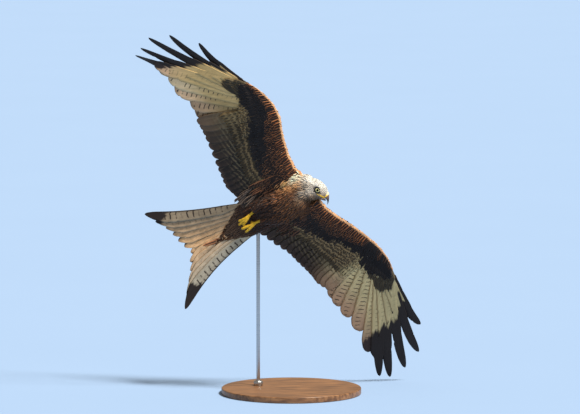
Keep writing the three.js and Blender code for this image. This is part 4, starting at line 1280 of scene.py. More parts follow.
def body_colours(points, normals):
    """Ground, fringe, mark and the form of the mark for feathers rooted at these places."""
    count = len(points)
    forward, up, left = head_coordinates(points)
    wobble = rng.normal(0, 1, (count, 1))
    x = points[:, 0]
    back = smooth(normals[:, 2], -0.15, 0.45)
    ground, edge = trunk_colours(x, normals, back)
    streak = np.interp(-x, [-20, 30, 110, 180, 240], [0.34, 0.34, 0.42, 0.36, 0.24])
    streak = streak * (1 - back) + back * np.interp(-x, [20, 60, 200, 250], [0.3, 0.62, 0.6, 0.3])
    fringe = np.interp(-x, [0, 100, 200, 260], [0.20, 0.12, 0.16, 0.30])

    # Painted warm light on the breast's far side, then the pale side of the neck, its cream brightened there
    # as painted sunlight
    high = points @ LIGHT_SIDE
    ahead = points @ NECK_SIDE
    below = smooth(normals[:, 2], 0.75, 0.35)
    orange = smooth(high, 2, 34) * smooth(ahead, -116, -66) * below
    ground = blend(ground, LIT_ORANGE, orange)
    edge = blend(edge, LIT_EDGE, orange)
    streak = streak - 0.12 * orange
    sunlit_pale_neck = smooth(high, 16, 46) * smooth(ahead, -58, -36) * smooth(ahead, 10, -20) * below
    ground = blend(ground, NECK_CREAM_SUNLIT, sunlit_pale_neck)
    edge = blend(edge, NECK_CREAM_SUNLIT, sunlit_pale_neck)
    streak = streak * (1 - 0.4 * sunlit_pale_neck)

    # Hood: cream crown, greyer cheeks and nape, a buff throat
    hood = forward - 14 * smooth(-up, -8, 16)
    near_head = smooth(hood, -66, -34) * smooth(ahead, -62, -34) * smooth(high, -36, 4)
    crown = smooth(up * 0.8 + 6 * (normals @ head_up), -2, 16)
    throat = smooth(-high, -6, 34)
    head = blend(blend(HEAD_GREY, CREAM, crown), blend(CHEEK, CREAM, crown), smooth(forward, -32, -10))
    head = blend(head, THROAT_BUFF, throat)
    thin = np.interp(crown, [0, 1], [0.30, 0.16]) + 0.04 * smooth(-forward, 14, 40) + 0.12 * throat
    ground = blend(ground, head, near_head)
    edge = blend(edge, np.minimum(head * 1.15, 0.86), near_head)
    streak = streak * (1 - near_head) + near_head * thin
    fringe = fringe * (1 - near_head) + near_head * 0.10

    # Dark lores and a dark ring round the eye
    dusk = 1.5 * bump_at(forward, up, (12, -3), (5.5, 3.8)) + smooth(np.hypot(forward * 0.9, up), 11.4, 9.4)
    dusk = np.clip(dusk * smooth(np.abs(left), 5, 9), 0, 1) * near_head
    ground = np.clip(blend(ground, EYE_DUSK, dusk) * (1 + 0.10 * wobble), 0.005, 0.88)
    edge = np.clip(blend(edge, EYE_DUSK_EDGE, dusk) * (1 + 0.08 * wobble), 0.005, 0.9)
    form = np.column_stack([streak * rng.uniform(0.75, 1.25, count), fringe, np.zeros(count)])
    return ground, edge, np.tile(STREAK, (count, 1)), form


# The skin itself
plumage = contour_material()
(skin_points, skin_corners, skin_sizes), (leg_points, leg_corners, leg_sizes) = build_skin()
surface = Surface(skin_points, skin_corners, skin_sizes)


def point_normals(points, corners, sizes):
    """Normals at points, from the faces round them."""
    starts = face_starts(sizes)
    a, b, c = (points[corners[starts + k]] for k in range(3))
    total = np.zeros_like(points)
    np.add.at(total, corners, np.repeat(np.cross(b - a, c - a), sizes, 0))
    return unit(total)


def make_skin():
    offset = len(skin_points)
    points = np.vstack([skin_points, leg_points])
    corners = np.concatenate([skin_corners, leg_corners + offset])
    sizes = np.concatenate([skin_sizes, leg_sizes])
    obj = make_object("skin", points, corners, sizes)
    normals = point_normals(points, corners, sizes)
    ground, _, mark, _ = body_colours(points, normals)
    ground = blend(ground, DARK_RUFOUS, smooth(np.abs(points[:, 1]), 58, 75))
    set_attribute(obj, "ground", "FLOAT_COLOR", ground * 0.8)
    set_attribute(obj, "mark", "FLOAT_COLOR", mark)
    set_attribute(obj, "bare", "FLOAT", (np.arange(len(points)) >= offset).astype(float))
    on_leg = (corners >= offset)[:, None]
    place = np.where(on_leg, leg_chart(points, normals)[corners], skin_chart(points, normals)[corners])
    first = place[np.repeat(face_starts(sizes), sizes)]
    wrapped = np.abs(place - first).max(1) > 0.06
    set_uv(obj, "OFBake", np.where(wrapped[:, None], first, place))
    flesh = ["trunk", "neck", "rump", "head"]
    limbs = ["upper_arm", "forearm", "hand", "thigh", "shank", "foot"]
    nodes = flesh + [f"{limb}_{side}" for limb in limbs for side in ("right", "left")]
    return finish_piece(obj, skin_material(), "body_plumage", *nodes)


make_skin()

# Body feathers
COAT_ACROSS, BODY_PATCH = 4, 0.004
FOLDED = 0.55


def coat_from(name, slot, wanted, spacing, size, steps=5, flow=flow_direction):
    """One piece of the coat over the skin. size gives length, half width, lift and pointedness at places."""
    roots, normals = surface.scatter(wanted, spacing)
    count = len(roots)
    length, half, lift, pointed = (np.asarray(v, float) * np.ones(count) for v in size(roots, normals))
    direction = on_surface(flow(roots), normals)
    yaw = rng.normal(0, 0.09, count)
    direction = turned(direction, np.cross(normals, direction), yaw)
    length = length * rng.uniform(0.88, 1.12, count)
    lift = lift * rng.uniform(0.85, 1.15, count)
    mid, over = surface.lay(roots, normals, direction, length, lift, steps)

    # A feather that folds over an edge is laid again, shorter
    folded = (over[:, 0] * over[:, -1]).sum(-1) < FOLDED
    for share in (0.5, 0.28):
        short, low = length[folded] * share, lift[folded] * share * 0.6
        mid[folded], over[folded] = surface.lay(
            roots[folded], normals[folded], direction[folded], short, low, steps,
        )
        half = np.where(folded, half * 0.8, half)
        folded &= (over[:, 0] * over[:, -1]).sum(-1) < FOLDED
    lead, up = squared(mid, over, rng.normal(0, 0.12, count))
    outline = contour_outline(steps, half, pointed)
    ground, edge, mark, form = body_colours(roots, normals)
    feathers = {
        "mid": mid, "lead": lead, "up": up, "ground": ground, "edge": edge, "mark": mark, "form": form,
        "lead_width": outline * rng.uniform(0.9, 1.1, (count, 1)),
        "trail_width": outline * rng.uniform(0.9, 1.1, (count, 1)),
        "thick": np.full(count, 0.16), "droop": np.full(count, 0.28), "root_uv": body_chart(roots),
    }
    return build_vanes(name, feathers, COAT_ACROSS, steps, BODY_PATCH, plumage, slot)


def everywhere(value):
    """The same spacing at all places."""
    return lambda p: np.full(len(p), value)


def gape_height(forward):
    return -10.6 + 0.09 * (forward - 3)


def in_head(p, n):
    forward, up, left = head_coordinates(p)
    near = np.hypot(up, left) < 44
    eye = np.hypot(forward, up) < 9.7
    side = np.abs(left) > 8
    mouth = (forward > 3) & (np.abs(up - gape_height(forward)) < 1.6) & side
    jaw = (forward > 17) & (up < gape_height(forward))
    return near & (forward > -27) & (forward < 31.5) & ~(eye & side) & ~mouth & ~jaw


def in_neck(p, n):
    forward, up, left = head_coordinates(p)
    behind = (forward <= -25) | ((np.hypot(up, left) >= 43) & (forward < 16))
    return behind & (p[:, 0] > -42) & (np.abs(p[:, 1]) < 66)


def in_trunk(p, n):
    return (p[:, 0] <= -36) & (p[:, 0] > -222) & (np.abs(p[:, 1]) < 74)


def in_rump(p, n):
    return (p[:, 0] <= -218) & (p[:, 0] > -352) & (np.abs(p[:, 1]) < 90)


def in_scapulars(p, n):
    out = np.abs(p[:, 1])
    return (p[:, 0] < -38) & (p[:, 0] > -122) & (out > 36) & (out < 92) & (n[:, 2] > 0.35)


def rump_flow(p):
    back, left, _ = tail_frame()
    return np.tile(unit(back + left * RUMP_SKEW / RUMP[-1][0]), (len(p), 1))


def head_spacing(p):
    forward, up, left = head_coordinates(p)
    eye = np.hypot(forward, up)
    face = np.interp(forward, [-30, -10, 15, 30], [3.3, 2.5, 1.9, 1.6])
    return np.minimum(face, np.interp(eye, [8, 24], [1.5, 3.6]) + 2 * (np.abs(left) < 8))


def head_size(p, n):
    forward, up, left = head_coordinates(p)
    eye = np.hypot(forward, up) + 14 * (np.abs(left) < 8)
    length = np.interp(forward, [-30, -8, 12, 24, 31], [17, 12.5, 8.5, 5.2, 3.6])
    length = np.minimum(length, np.interp(eye, [9, 26], [3.8, 16]))
    return length, length * 0.17 + 0.35, np.minimum(3.4, length * 0.25), 0.45


def neck_size(p, n):
    length = np.interp(-p[:, 0], [-10, 45], [20, 34])
    return length, length * 0.15, 6.4, 0.75


def trunk_size(p, n):
    back = smooth(n[:, 2], -0.1, 0.5)
    length = np.interp(-p[:, 0], [40, 90, 220], [36, 40, 46])
    return length, length * (0.19 + 0.05 * back), 6.6, 0.25


def rump_size(p, n):
    length = np.interp(-p[:, 0], [220, 290, 325, 350], [52, 70, 88, 98])
    return length, length * 0.10, 3.6, 0.5


def scapular_size(p, n):
    return np.interp(-p[:, 0], [40, 120], [48, 66]), 11.5, 10.0, 0.15


coat_from("coat_head", "head_plumage", in_head, head_spacing, head_size)
coat_from("coat_neck", "head_plumage", in_neck, everywhere(3.4), neck_size)
coat_from("coat_trunk", "body_plumage", in_trunk, everywhere(7.4), trunk_size)
coat_from("coat_rump", "tail_feathers", in_rump, everywhere(6.2), rump_size, 8, rump_flow)
coat_from("scapulars", "body_plumage", in_scapulars, everywhere(14.0), scapular_size, 6)


# Flight feathers
FLIGHT_STEPS, FLIGHT_ACROSS = 84, 10
NEVER = 1.4
TAIL_BLACK_FROM = {-1: 0.79, 1: 0.73}
QUILL_POINTS = np.linspace(0, 1, FLIGHT_STEPS + 1)


def flight_row(path, ground, edge, mark, upper, form, droop=0.05, lead_dark=0.0, root_dark=0.001):
    """One quill; form gives where it turns black, the strength of its dashes and how many it has."""
    mid, lead, up, lead_width, trail_width, _ = path
    return {
        "mid": mid, "lead": unit(lead), "up": unit(up), "lead_width": lead_width, "trail_width": trail_width,
        "ground": ground, "edge": edge, "mark": mark, "upper": upper, "form": np.array(form, float),
        "thick": 0.32, "droop": droop, "lead_dark": lead_dark, "root_dark": root_dark,
    }


def flight_piece(name, rows, material, slot, nodes, notches):
    feathers = stack(rows)
    feathers["lead_width"] = ruffle(feathers["lead_width"], 0.012, notches)
    feathers["trail_width"] = ruffle(feathers["trail_width"], 0.022, notches)
    return build_vanes(name, feathers, FLIGHT_ACROSS, FLIGHT_STEPS, 0, material, slot, nodes, strips=True)


def primary_row(wing, k):
    """A pale window on the inner part of each primary, then black from its own place on."""
    path = primary(wing, k, QUILL_POINTS)
    tint = rng.normal(1, 0.04)
    # inner_shade paints shade on the right wing's inner primaries
    shade = np.interp(k, [0, 5, 9], [1.0, 1.0, 0.84]) * np.interp(k, range(5), wing["inner_shade"])
    dashes = np.interp(k, [0, 3, 4, 5, 9], [1.0, 0.9, 0.65, 0.35, 0.1])
    form = (wing["black_from"][k] + rng.normal(0, 0.006), dashes, path[-1] / 15.5)
    mark = QUILL_BROWN if k < FIRST_FINGER else QUILL_BLACK
    # The tip colour, scaled by tip_shade, is painted glow of light shining through the quill's outer part
    tip = np.minimum(linear(*wing["tip"]) * tint * np.interp(k, range(6), wing["tip_shade"]), 0.85)
    lead_dark = np.interp(k, [7, 8, 9], [0.0, 0.12, 0.55])
    root_dark = np.interp(k, [0, 6], [0.30, 0.12])
    # The window's warm colour is the quill's own pale with painted glow of light shining through
    ground = linear(*wing["window"]) * tint * shade
    return flight_row(path, ground, tip, mark, QUILL_UPPER, form, 0.03, lead_dark, root_dark)


def secondary_row(wing, share):
    """Dark barred quills; the outermost share the primaries' pale window."""
    path = secondary(wing, share, QUILL_POINTS)
    tint = rng.normal(1, 0.06)
    light = np.interp(share, [0, 0.08, 0.16, 0.3, 0.45], [0.9, 0.8, 0.35, 0.12, 0.0]) * wing["outer_light"]
    # arm_light darkens the right wing's secondaries as painted shade; the pale share takes the window's and
    # tips' painted glow
    ground = (SECONDARY_DARK * wing["arm_light"] * (1 - light) + linear(*wing["window"]) * light) * tint
    tip = (SECONDARY_TIP * wing["arm_light"] * (1 - light) + linear(*wing["tip"]) * 0.6 * light) * tint
    form = (NEVER, np.interp(share, [0, 0.4, 1], [0.85, 0.7, 0.4]), path[-1] / 13)
    return flight_row(path, ground, tip, QUILL_BLACK, QUILL_UPPER, form, 0.07)


def tail_row(side, k):
    """Warm and plain in the middle of the tail, greyer and barred towards its black outer corners. The warm
    middle is the tail's own rufous with painted glow of light shining through; the grey is painted darker on
    the right half, as shade.
    """
    path = tail_feather(side, k + 0.5, QUILL_POINTS)
    share = k / (TAIL_PAIRS - 1)
    ground = (TAIL_WARM_AND_GLOW * (1 - share) + TAIL_GREY_AND_SHADE[side] * share) * rng.normal(1, 0.05)
    dark_from = np.interp(k, [0, 3, 4, 5], [1.3, 1.3, 0.90, TAIL_BLACK_FROM[side]])
    form = (dark_from, np.interp(k, [0, 3, 4, 5], [0.05, 0.15, 0.35, 1.0]), path[-1] / 20)
    return flight_row(path, ground, ground * 1.08, QUILL_BLACK, TAIL_UPPER, form)


barred_primary = quill_material(
    "primary quills", (-0.62, -0.14), -0.5, PRIMARY_BARS, thin=0.80, fade=(0.10, 0.24), outline=0.09,
)
barred_secondary = quill_material(
    "secondary quills", (-1.2, 1.2), 0.8, SECONDARY_BARS, thin=0.35, fade=(0.90, 0.66), outline=0.4,
)
barred_tail = quill_material(
    "tail quills", (-0.62, 1.2), 0.25, TAIL_BARS, thin=0.72, fade=(0.10, 0.16), outline=0.25,
    mottle=0.22, lead_line=0.85,
)
for name, wing in WINGS.items():
    rows = [primary_row(wing, k) for k in range(PRIMARIES)]
    flight_piece(
        f"primary_vanes_{name}", rows, barred_primary, "flight_feathers", [f"primaries_{name}"], 0.12,
    )
    rows = [secondary_row(wing, k / (SECONDARIES - 1)) for k in range(SECONDARIES)]
    flight_piece(
        f"secondary_vanes_{name}", rows, barred_secondary, "flight_feathers", [f"secondaries_{name}"], 0.35,
    )
rows = [tail_row(side, k) for side in (-1, 1) for k in range(TAIL_PAIRS)]
flight_piece("tail_vanes", rows, barred_tail, "tail_feathers", ["tail_right", "tail_left"], 0.12)

# Wing coverts
COVERT_STEPS, COVERT_ACROSS, ARM_PATCH = 7, 4, 0.006
UNDER_GREATER, HAND_COVERTS, UPPER_GREATER_COUNT = 27, 34, 24
TERTIALS, AXILLARIES = 7, 40
ALULA, ALULA_OUT, ALULA_LENGTH = 4, 284, 76
INNERMOST = 0.97
SHARPEST_BEND = 2.2


def arm_surface(wing, x, out, over):
    """Height of the wing's face under its coverts, on the upper or the under side."""
    front = front_edge(wing, out)
    rear = rear_edge(out)
    b = np.clip((front - x) / (front - rear), 0, 1)
    half = (arm_thickness(out) / 2 - DEPTH_ARM) * np.sqrt(b) * (1 - b) / SECTION_PEAK
    half = np.maximum(half, THINNEST_ARM * np.minimum(1, b * 9))
    camber = ARM_CAMBER * np.sin(np.pi * b)
    if over < 0:
        camber = camber * (1 - smooth(out, 225, 265)) - 2.5 * smooth(out, 240, 280) * smooth(b, 0.5, 0.8)
    return wing_height(wing, x, out) + camber + over * half


def arm_coverts(wing, over, roots_x, roots_out, turn, length, lift):
    """Middle lines and outward directions of coverts that lie along the wing's face."""
    t = np.linspace(0, 1, COVERT_STEPS + 1)[None]
    x = roots_x[:, None] - (length * np.cos(turn))[:, None] * t
    out = roots_out[:, None] + (length * np.sin(turn))[:, None] * t
    rise = over * (0.3 + lift[:, None] * (t**0.75 - 0.1 * t**3))
    z = arm_surface(wing, x, out, over) + rise
    dx = (arm_surface(wing, x + 1, out, over) - arm_surface(wing, x - 1, out, over)) / 2
    dout = (arm_surface(wing, x, out + 1, over) - arm_surface(wing, x, out - 1, over)) / 2
    normal = unit(np.stack([-dx, -dout * wing["side"], np.ones_like(dx)], -1)) * over
    return np.stack([x, wing["side"] * out, z], -1), normal


def covert_group(mid, over_vectors, half, pointed, colours, over, thick=0.18, roll=0.07):
    count = len(mid)
    lead, up = squared(mid, over_vectors, rng.normal(0, roll, count))
    outline = contour_outline(mid.shape[1] - 1, half, np.full(count, pointed))
    ground, edge, mark, form = colours
    jitter = rng.normal(1, 0.07, (count, 1))
    return {
        "mid": mid, "lead": lead, "up": up, "ground": np.clip(ground * jitter, 0.004, 0.88),
        "edge": np.clip(edge * jitter, 0.004, 0.88),
        "mark": mark * np.ones((count, 1)), "form": form * np.ones((count, 1)),
        "lead_width": outline * rng.uniform(0.92, 1.08, (count, 1)),
        "trail_width": outline * rng.uniform(0.92, 1.08, (count, 1)),
        "thick": np.full(count, thick), "droop": np.full(count, 0.22), "root_uv": wing_chart(mid[:, 0], over),
    }


def covert_piece(name, groups):
    """Groups of feathers, each with middle lines, outward directions, widths and colours, as one mesh."""
    joined = {key: np.concatenate([group[key] for group in groups]) for key in groups[0]}
    return build_vanes(name, joined, COVERT_ACROSS, COVERT_STEPS, ARM_PATCH, plumage, "arm_plumage")


def lie_turn(out):
    """How far the coverts point outward: straight back at the body, along the primaries at the hand."""
    return np.radians(np.interp(out, [45, 150, 250, 300, 350, 398], [3, 5, 12, 22, 38, 58]))


def chord_share(wing, x, out):
    """How far behind the front edge a place lies, as a share of the whole wing's chord."""
    edge = np.array(wing["trailing"], float)
    front = front_edge(wing, out)
    return (front - x) / (front - np.interp(out, edge[:, 1], edge[:, 0]))


def rows_on_arm(wing, over, backs, gap, length, half, lift, pointed, colour, first=44, last=396, slant=0.0):
    """Rows of coverts across the arm; smaller where the arm is narrow."""
    groups = []
    for r, back in enumerate(backs):
        outs = np.arange(first + (r % 2) * gap / 2, last, gap)
        outs = outs + rng.normal(0, gap * 0.10, len(outs))
        front = front_edge(wing, outs)
        chord = front - rear_edge(outs)
        scale = np.clip(chord / 118, 0.5, 1.0) ** 0.7
        x = front - (back + rng.normal(0, 0.008, len(outs))) * chord
        turn = lie_turn(outs) * (1 - slant) + slant + rng.normal(0, 0.07, len(outs))
        lengths = length * scale * rng.uniform(0.9, 1.1, len(outs))
        mid, normal = arm_coverts(wing, over, x, outs, turn, lengths, lift * scale)
        seen = 0.7 * lengths
        share = chord_share(wing, x - seen * np.cos(turn), outs + seen * np.sin(turn))
        groups.append(covert_group(mid, normal, half * scale, pointed, colour(wing, outs, back, share), over))
    return groups


def olive_coverts(wing, outs, light):
    """Ground and fringe of the barred greater coverts; pale over the outermost secondaries."""
    olive, olive_edge, mark, form = OLIVE
    pale = (smooth(outs, 282, 322) * 0.8 * wing["outer_light"])[:, None]
    window = linear(*wing["window"])
    ground = olive * light * (1 - pale) + window * pale * 0.9
    edge = olive_edge * light * (1 - pale) + window * pale
    return ground, np.minimum(edge, 0.8), mark, form


def under_arm(wing, outs, back, share):
    """Rufous with dark streaks behind a front rim painted as lit by the sun, then the black band, then the
    olive coverts.
    """
    share = share + rng.normal(0, 0.010, len(outs))
    # rim marks the front rows, which take RIM's colours: painted sunlight on the wing's front edge
    rim = smooth(back, 0.028, 0.012)
    ground = blend(ARM_FRONT, ARM_MIDDLE, smooth(share, 0.08, 0.30))
    ground = blend(ground, HAND_BROWN, smooth(outs, 268, 330) * 0.6)
    ground = blend(ground, RIM, rim)
    edge = blend(ARM_FRONT_EDGE, ARM_MIDDLE_EDGE, smooth(share, 0.06, 0.28))
    edge = blend(edge, RIM_EDGE, rim)
    form = np.array([np.interp(back, [0, 0.03, 0.5], [0.10, 0.52, 0.64]), 0.14, 0.0])
    warm = smooth(outs, 200, 110)
    black = smooth(share - np.interp(outs, ZONE_OUT, wing["rufous_to"]), -0.02, 0.02) * (1 - rim)
    ground = blend(ground, blend(BLACK_BAND, WARM_BLACK, warm), black)
    edge = blend(edge, blend(BLACK_BAND_EDGE, WARM_BLACK_EDGE, warm), black)
    mark = blend(STREAK, BLACK_BAND_MARK, black)
    form = blend(form, BLACK_BAND_FORM, black)
    olive = smooth(share - np.interp(outs, ZONE_OUT, wing["black_to"]), -0.015, 0.015)
    # arm_light darkens the right wing's olive coverts as painted shade
    behind = olive_coverts(wing, outs, wing["arm_light"])
    return [blend(near, far, olive) for near, far in zip((ground, edge, mark, form), behind)]


def quill_coverts(over, paths, starts, ends, half, lift, colours, pointed=0.05):
    """Coverts that follow the flight feathers beneath them, between two distances from their roots."""
    mids, ups = [], []
    t = np.linspace(0, 1, COVERT_STEPS + 1)
    for path, start, end in zip(paths, starts, ends):
        mid, _, up, *_ = path(np.minimum((start + (end - start) * t) / path(t)[-1], 1))
        rise = 1.5 + lift * (t**0.75 - 0.1 * t**3)
        mids.append(mid + up * (over * rise)[:, None])
        ups.append(up * over)
    mids, ups = np.array(mids), np.array(ups)
    return covert_group(mids, ups, np.full(len(mids), half), pointed, colours, over, 0.22, 0.04)


def secondary_reach(wing, share, tip_share):
    """Distance from a secondary's root to a share of the whole wing's chord, counted from the front."""
    mid, *_, length = secondary(wing, share, np.array([0.0, 1.0]))
    root, tip = mid
    front = front_edge(wing, abs(0.5 * (root[1] + tip[1])))
    x = front - tip_share * (front - tip[0])
    return float(np.clip((root[0] - x) / (root[0] - tip[0]), 0.02, 1)) * length


def greater_rows(wing, over, tip_share, length, half, lift, count, colours):
    """Coverts over the secondaries, from the outermost inward."""
    shares = np.linspace(0.0, INNERMOST, count)
    ends = [secondary_reach(wing, share, tip_share + rng.normal(0, 0.008)) for share in shares]
    paths = [lambda s, share=share: secondary(wing, share, s) for share in shares]
    starts = [max(end - length, 2) for end in ends]
    return quill_coverts(over, paths, starts, ends, half, lift, colours)


def primary_rows(wing, over, count, start, reach, half, lift, colours, last=8.9, ragged=2.0):
    """Coverts over the hand; reach lists how far they cover each primary."""
    ranks = np.linspace(-0.3, last, count)
    paths = [lambda s, k=k: primary(wing, k, s) for k in ranks]
    ends = np.interp(ranks, np.linspace(0, PRIMARIES - 1, len(reach)), reach) + rng.normal(0, ragged, count)
    return quill_coverts(over, paths, np.full(count, float(start)), ends, half, lift, colours)


def under_wing(name, wing):
    shares = np.linspace(0, INNERMOST, UNDER_GREATER)
    outs = np.array([abs(secondary(wing, share, np.array([0.4]))[0][0, 1]) for share in shares])

    def rows(*settings, **limits):
        return rows_on_arm(wing, -1, *settings, under_arm, **limits)

    def greater(tip_share, length, half, lift, light):
        # The row's light times arm_light, which paints shade on the right wing
        colours = olive_coverts(wing, outs, wing["arm_light"] * light)
        return greater_rows(wing, -1, tip_share, length, half, lift, UNDER_GREATER, colours)

    def hand(*settings, **limits):
        return primary_rows(wing, -1, HAND_COVERTS, *settings, **limits)

    groups = rows([0.0, 0.01], 3.4, 9, 1.9, 0.8, 0.5, slant=1.15)
    groups += rows(np.arange(0.03, 0.47, 0.062), 8.4, 30, 6.0, 3.2, 0.35)
    groups += rows([0.48, 0.56, 0.64], 9, 38, 7.4, 4.4, 0.2)
    groups += rows([0.73], 9, 40, 8.4, 4.2, 0.15, last=385)
    groups += rows([0.82, 0.92, 1.02], 8, 30, 7.4, 4.6, 0.2, first=258, last=wing["cover_to"])
    groups.append(greater(0.60, 52, 10.0, 3.4, 0.85))
    groups.append(greater(0.70, 82, 11.5, 2.6, 0.72))
    groups.append(hand(6, wing["olive_reach"], 8.0, 3.4, OLIVE_HAND, ragged=6.0))
    groups.append(hand(4, np.array(wing["olive_reach"]) * 0.72, 8.0, 4.0, OLIVE_HAND, ragged=7.0))
    groups.append(hand(-2, wing["black_reach"], 7.5, 4.8, BLACK_HAND, last=8.0, ragged=5.0))
    covert_piece(f"under_coverts_{name}", groups)


def upper_lesser(wing, outs, back, share):
    ground, edge, mark, form = UPPER_LESSER
    return blend(ground, UPPER_RIM, smooth(back, 0.05, 0.0)), blend(edge, UPPER_REAR_EDGE, back), mark, form


def upper_median(wing, outs, back, share):
    """The pale diagonal band, darker outward."""
    ground, edge, mark, form = PALE_BAND
    outer = smooth(outs, 230, 300)
    return blend(ground, PALE_BAND_OUTER, outer), blend(edge, PALE_BAND_OUTER_EDGE, outer), mark, form


def upper_wing(name, wing):
    groups = rows_on_arm(wing, 1, [0.008, 0.035], 7, 17, 4.2, 2.0, 0.3, upper_lesser)
    groups += rows_on_arm(wing, 1, np.arange(0.07, 0.50, 0.062), 8.5, 27, 5.8, 3.6, 0.2, upper_lesser)
    groups += rows_on_arm(wing, 1, [0.53, 0.66], 11, 38, 8.0, 4.4, 0.1, upper_median)
    groups.append(greater_rows(wing, 1, 0.60, 74, 11.0, 3.2, UPPER_GREATER_COUNT, UPPER_GREATER))
    groups.append(primary_rows(wing, 1, 17, 14, [96, 70], 10.5, 2.6, UPPER_GREATER))
    groups.append(primary_rows(wing, 1, 20, 0, [52, 40], 8.5, 4.0, UPPER_GREATER))
    covert_piece(f"upper_coverts_{name}", groups)


def strewn(wing, over, starts, ends, half, lift, colours, pointed=0.1):
    """Long loose feathers between the wing and the body, from points and to points given as x and out."""
    t = np.linspace(0, 1, COVERT_STEPS + 1)[None, :, None]
    flat = starts[:, None] + (ends - starts)[:, None] * t
    x, out = flat[..., 0], flat[..., 1]
    z = arm_surface(wing, x, out, over) + over * (1 + lift * t[..., 0] ** 0.8)
    normal = np.zeros((*x.shape, 3))
    normal[..., 2] = over
    mid = np.stack([x, wing["side"] * out, z], -1)
    group = covert_group(mid, normal, np.full(len(mid), half), pointed, colours, over, 0.25, 0.12)
    even = np.linalg.norm(np.diff(mid, 2, axis=1), axis=2).max(1) < SHARPEST_BEND
    return {key: values[even] for key, values in group.items()}


def between_ends(place, x, out):
    """Points between two ends, given as x and out at place 0 and 1."""
    return np.column_stack([np.interp(place, [0, 1], x), np.interp(place, [0, 1], out)])


def strewn_ends(count, x, out):
    """Random points, given as ranges of x and out."""
    return np.column_stack([rng.uniform(*x, count), rng.uniform(*out, count)])


def tertials(wing):
    """Long feathers over the inner secondaries, on the upper side."""
    place = np.linspace(0, 1, TERTIALS)
    rear = wing["trailing"][0][0]
    starts = between_ends(place, (-84, -62), (66, 128))
    ends = between_ends(place, (rear + 14, rear + 42), (60, 124))
    return strewn(wing, 1, starts, ends, 17, 7, (blend(TERTIAL[0], TERTIAL_OUTER, place), *TERTIAL[1:]))


def axillaries(wing):
    """Rufous feathers of the armpit."""
    place = rng.uniform(0, 1, AXILLARIES)
    back = rng.uniform(0, 1, AXILLARIES)
    starts = between_ends(place, (-46, -34), (52, 108)) - np.outer(78 * back, [1, 0])
    ends = starts + strewn_ends(AXILLARIES, (-62, -44), (-2, 7))
    colours = (blend(AXILLARY[0], AXILLARY_OUTER, place), *AXILLARY[1:])
    return strewn(wing, -1, starts, ends, 5.6, 3, colours, 0.3)


def loose_feathers(wing):
    """Pale ragged feathers behind the armpit."""
    count = wing["loose"]
    starts = strewn_ends(count, (-196, -150), (66, 104))
    ends = starts + strewn_ends(count, (-52, -34), (-12, 6))
    form = np.column_stack([rng.uniform(0.2, 0.8, count), np.full(count, 0.2), np.zeros(count)])
    return strewn(wing, -1, starts, ends, 3.4, 5, (LOOSE, LOOSE * 1.8, LOOSE_MARK, form), 0.5)


def inner_wing(name, wing):
    groups = [tertials(wing), axillaries(wing)]
    if wing["loose"]:
        groups.append(loose_feathers(wing))
    covert_piece(f"inner_feathers_{name}", groups)


def alula(name, wing):
    """Four stiff feathers on the wrist's front edge."""
    place = np.linspace(0, 1, ALULA)
    front = front_edge(wing, ALULA_OUT + 8)
    starts = np.column_stack([front - 10 - 7 * place, ALULA_OUT + 4 * place])
    ends = np.column_stack([front - 14 - 13 * place, ALULA_OUT + ALULA_LENGTH - 16 * place])
    covert_piece(f"alula_{name}", [strewn(wing, 1, starts, ends, 7, 3, UPPER_GREATER)])


for name, wing in WINGS.items():
    under_wing(name, wing)
    upper_wing(name, wing)
    inner_wing(name, wing)
    alula(name, wing)


# Bill, cere and gape
def bill_rings(top, edge, half, count, sides, swell=0.0):
    """Rings through sections given as two points and a half width; swell makes them a little larger."""
    rows = spline([(*t, *e, h) for t, e, h in zip(top, edge, half)], count)
    a = head_point(rows[:, 0], rows[:, 1])
    b = head_point(rows[:, 2], rows[:, 3])
    middle, upright = (a + b) / 2, (a - b) / 2
    turn = full_turn(sides)
    height = np.cos(turn)
    wide = np.sin(turn) * (0.88 - 0.16 * height)
    grow = 1 + swell / np.maximum(np.linalg.norm(upright, axis=1), 1)
    rings = middle[:, None] + (upright * grow[:, None])[:, None] * height[None, :, None]
    return rings + head_left * ((rows[:, 4:5] + swell)[:, :, None] * wide[None, :, None])


def horn_piece(name, rings, tips, slot, *nodes):
    """Horn with its colour running from base to point."""
    points, corners, sizes = tube(rings)
    obj = make_object(name, points, corners, sizes)
    per_row = np.repeat(tips, rings.shape[1])
    set_attribute(obj, "tip", "FLOAT", np.concatenate([per_row, [tips[0], tips[-1]]]))
    return finish_piece(obj, horn, slot, *nodes)


horn = horn_material()
UPPER_RINGS, LOWER_RINGS = 60, 40
upper_bill = bill_rings(BILL_TOP[1:], BILL_EDGE[1:], BILL_HALF[1:], UPPER_RINGS, 40)
horn_piece("bill_upper_horn", upper_bill, np.linspace(0, 1, UPPER_RINGS), "horn", "bill_upper")
lower_bill = bill_rings(LOWER_TOP, LOWER_EDGE, LOWER_HALF, LOWER_RINGS, 32)
horn_piece("bill_lower_horn", lower_bill, np.linspace(0.0, 0.75, LOWER_RINGS), "horn", "bill_lower")


def gape_tube(side, lift):
    """A fold of yellow skin from the cere back below the eye."""
    line = []
    for f in np.linspace(2.5, 31, 9):
        u = gape_height(f) + lift
        start = head_point(f, u, side * 45.0)
        hit, *_ = surface.tree.ray_cast(Vector(start), Vector(-side * head_left))
        depth = head_coordinates(np.array(hit))[2] if hit else side * 9.0
        line.append(head_point(f, u, depth + side * 0.5))
    return tube(limb_rings(line, [0.5, 1.0, 1.05, 1.1, 1.1], 40, 12))


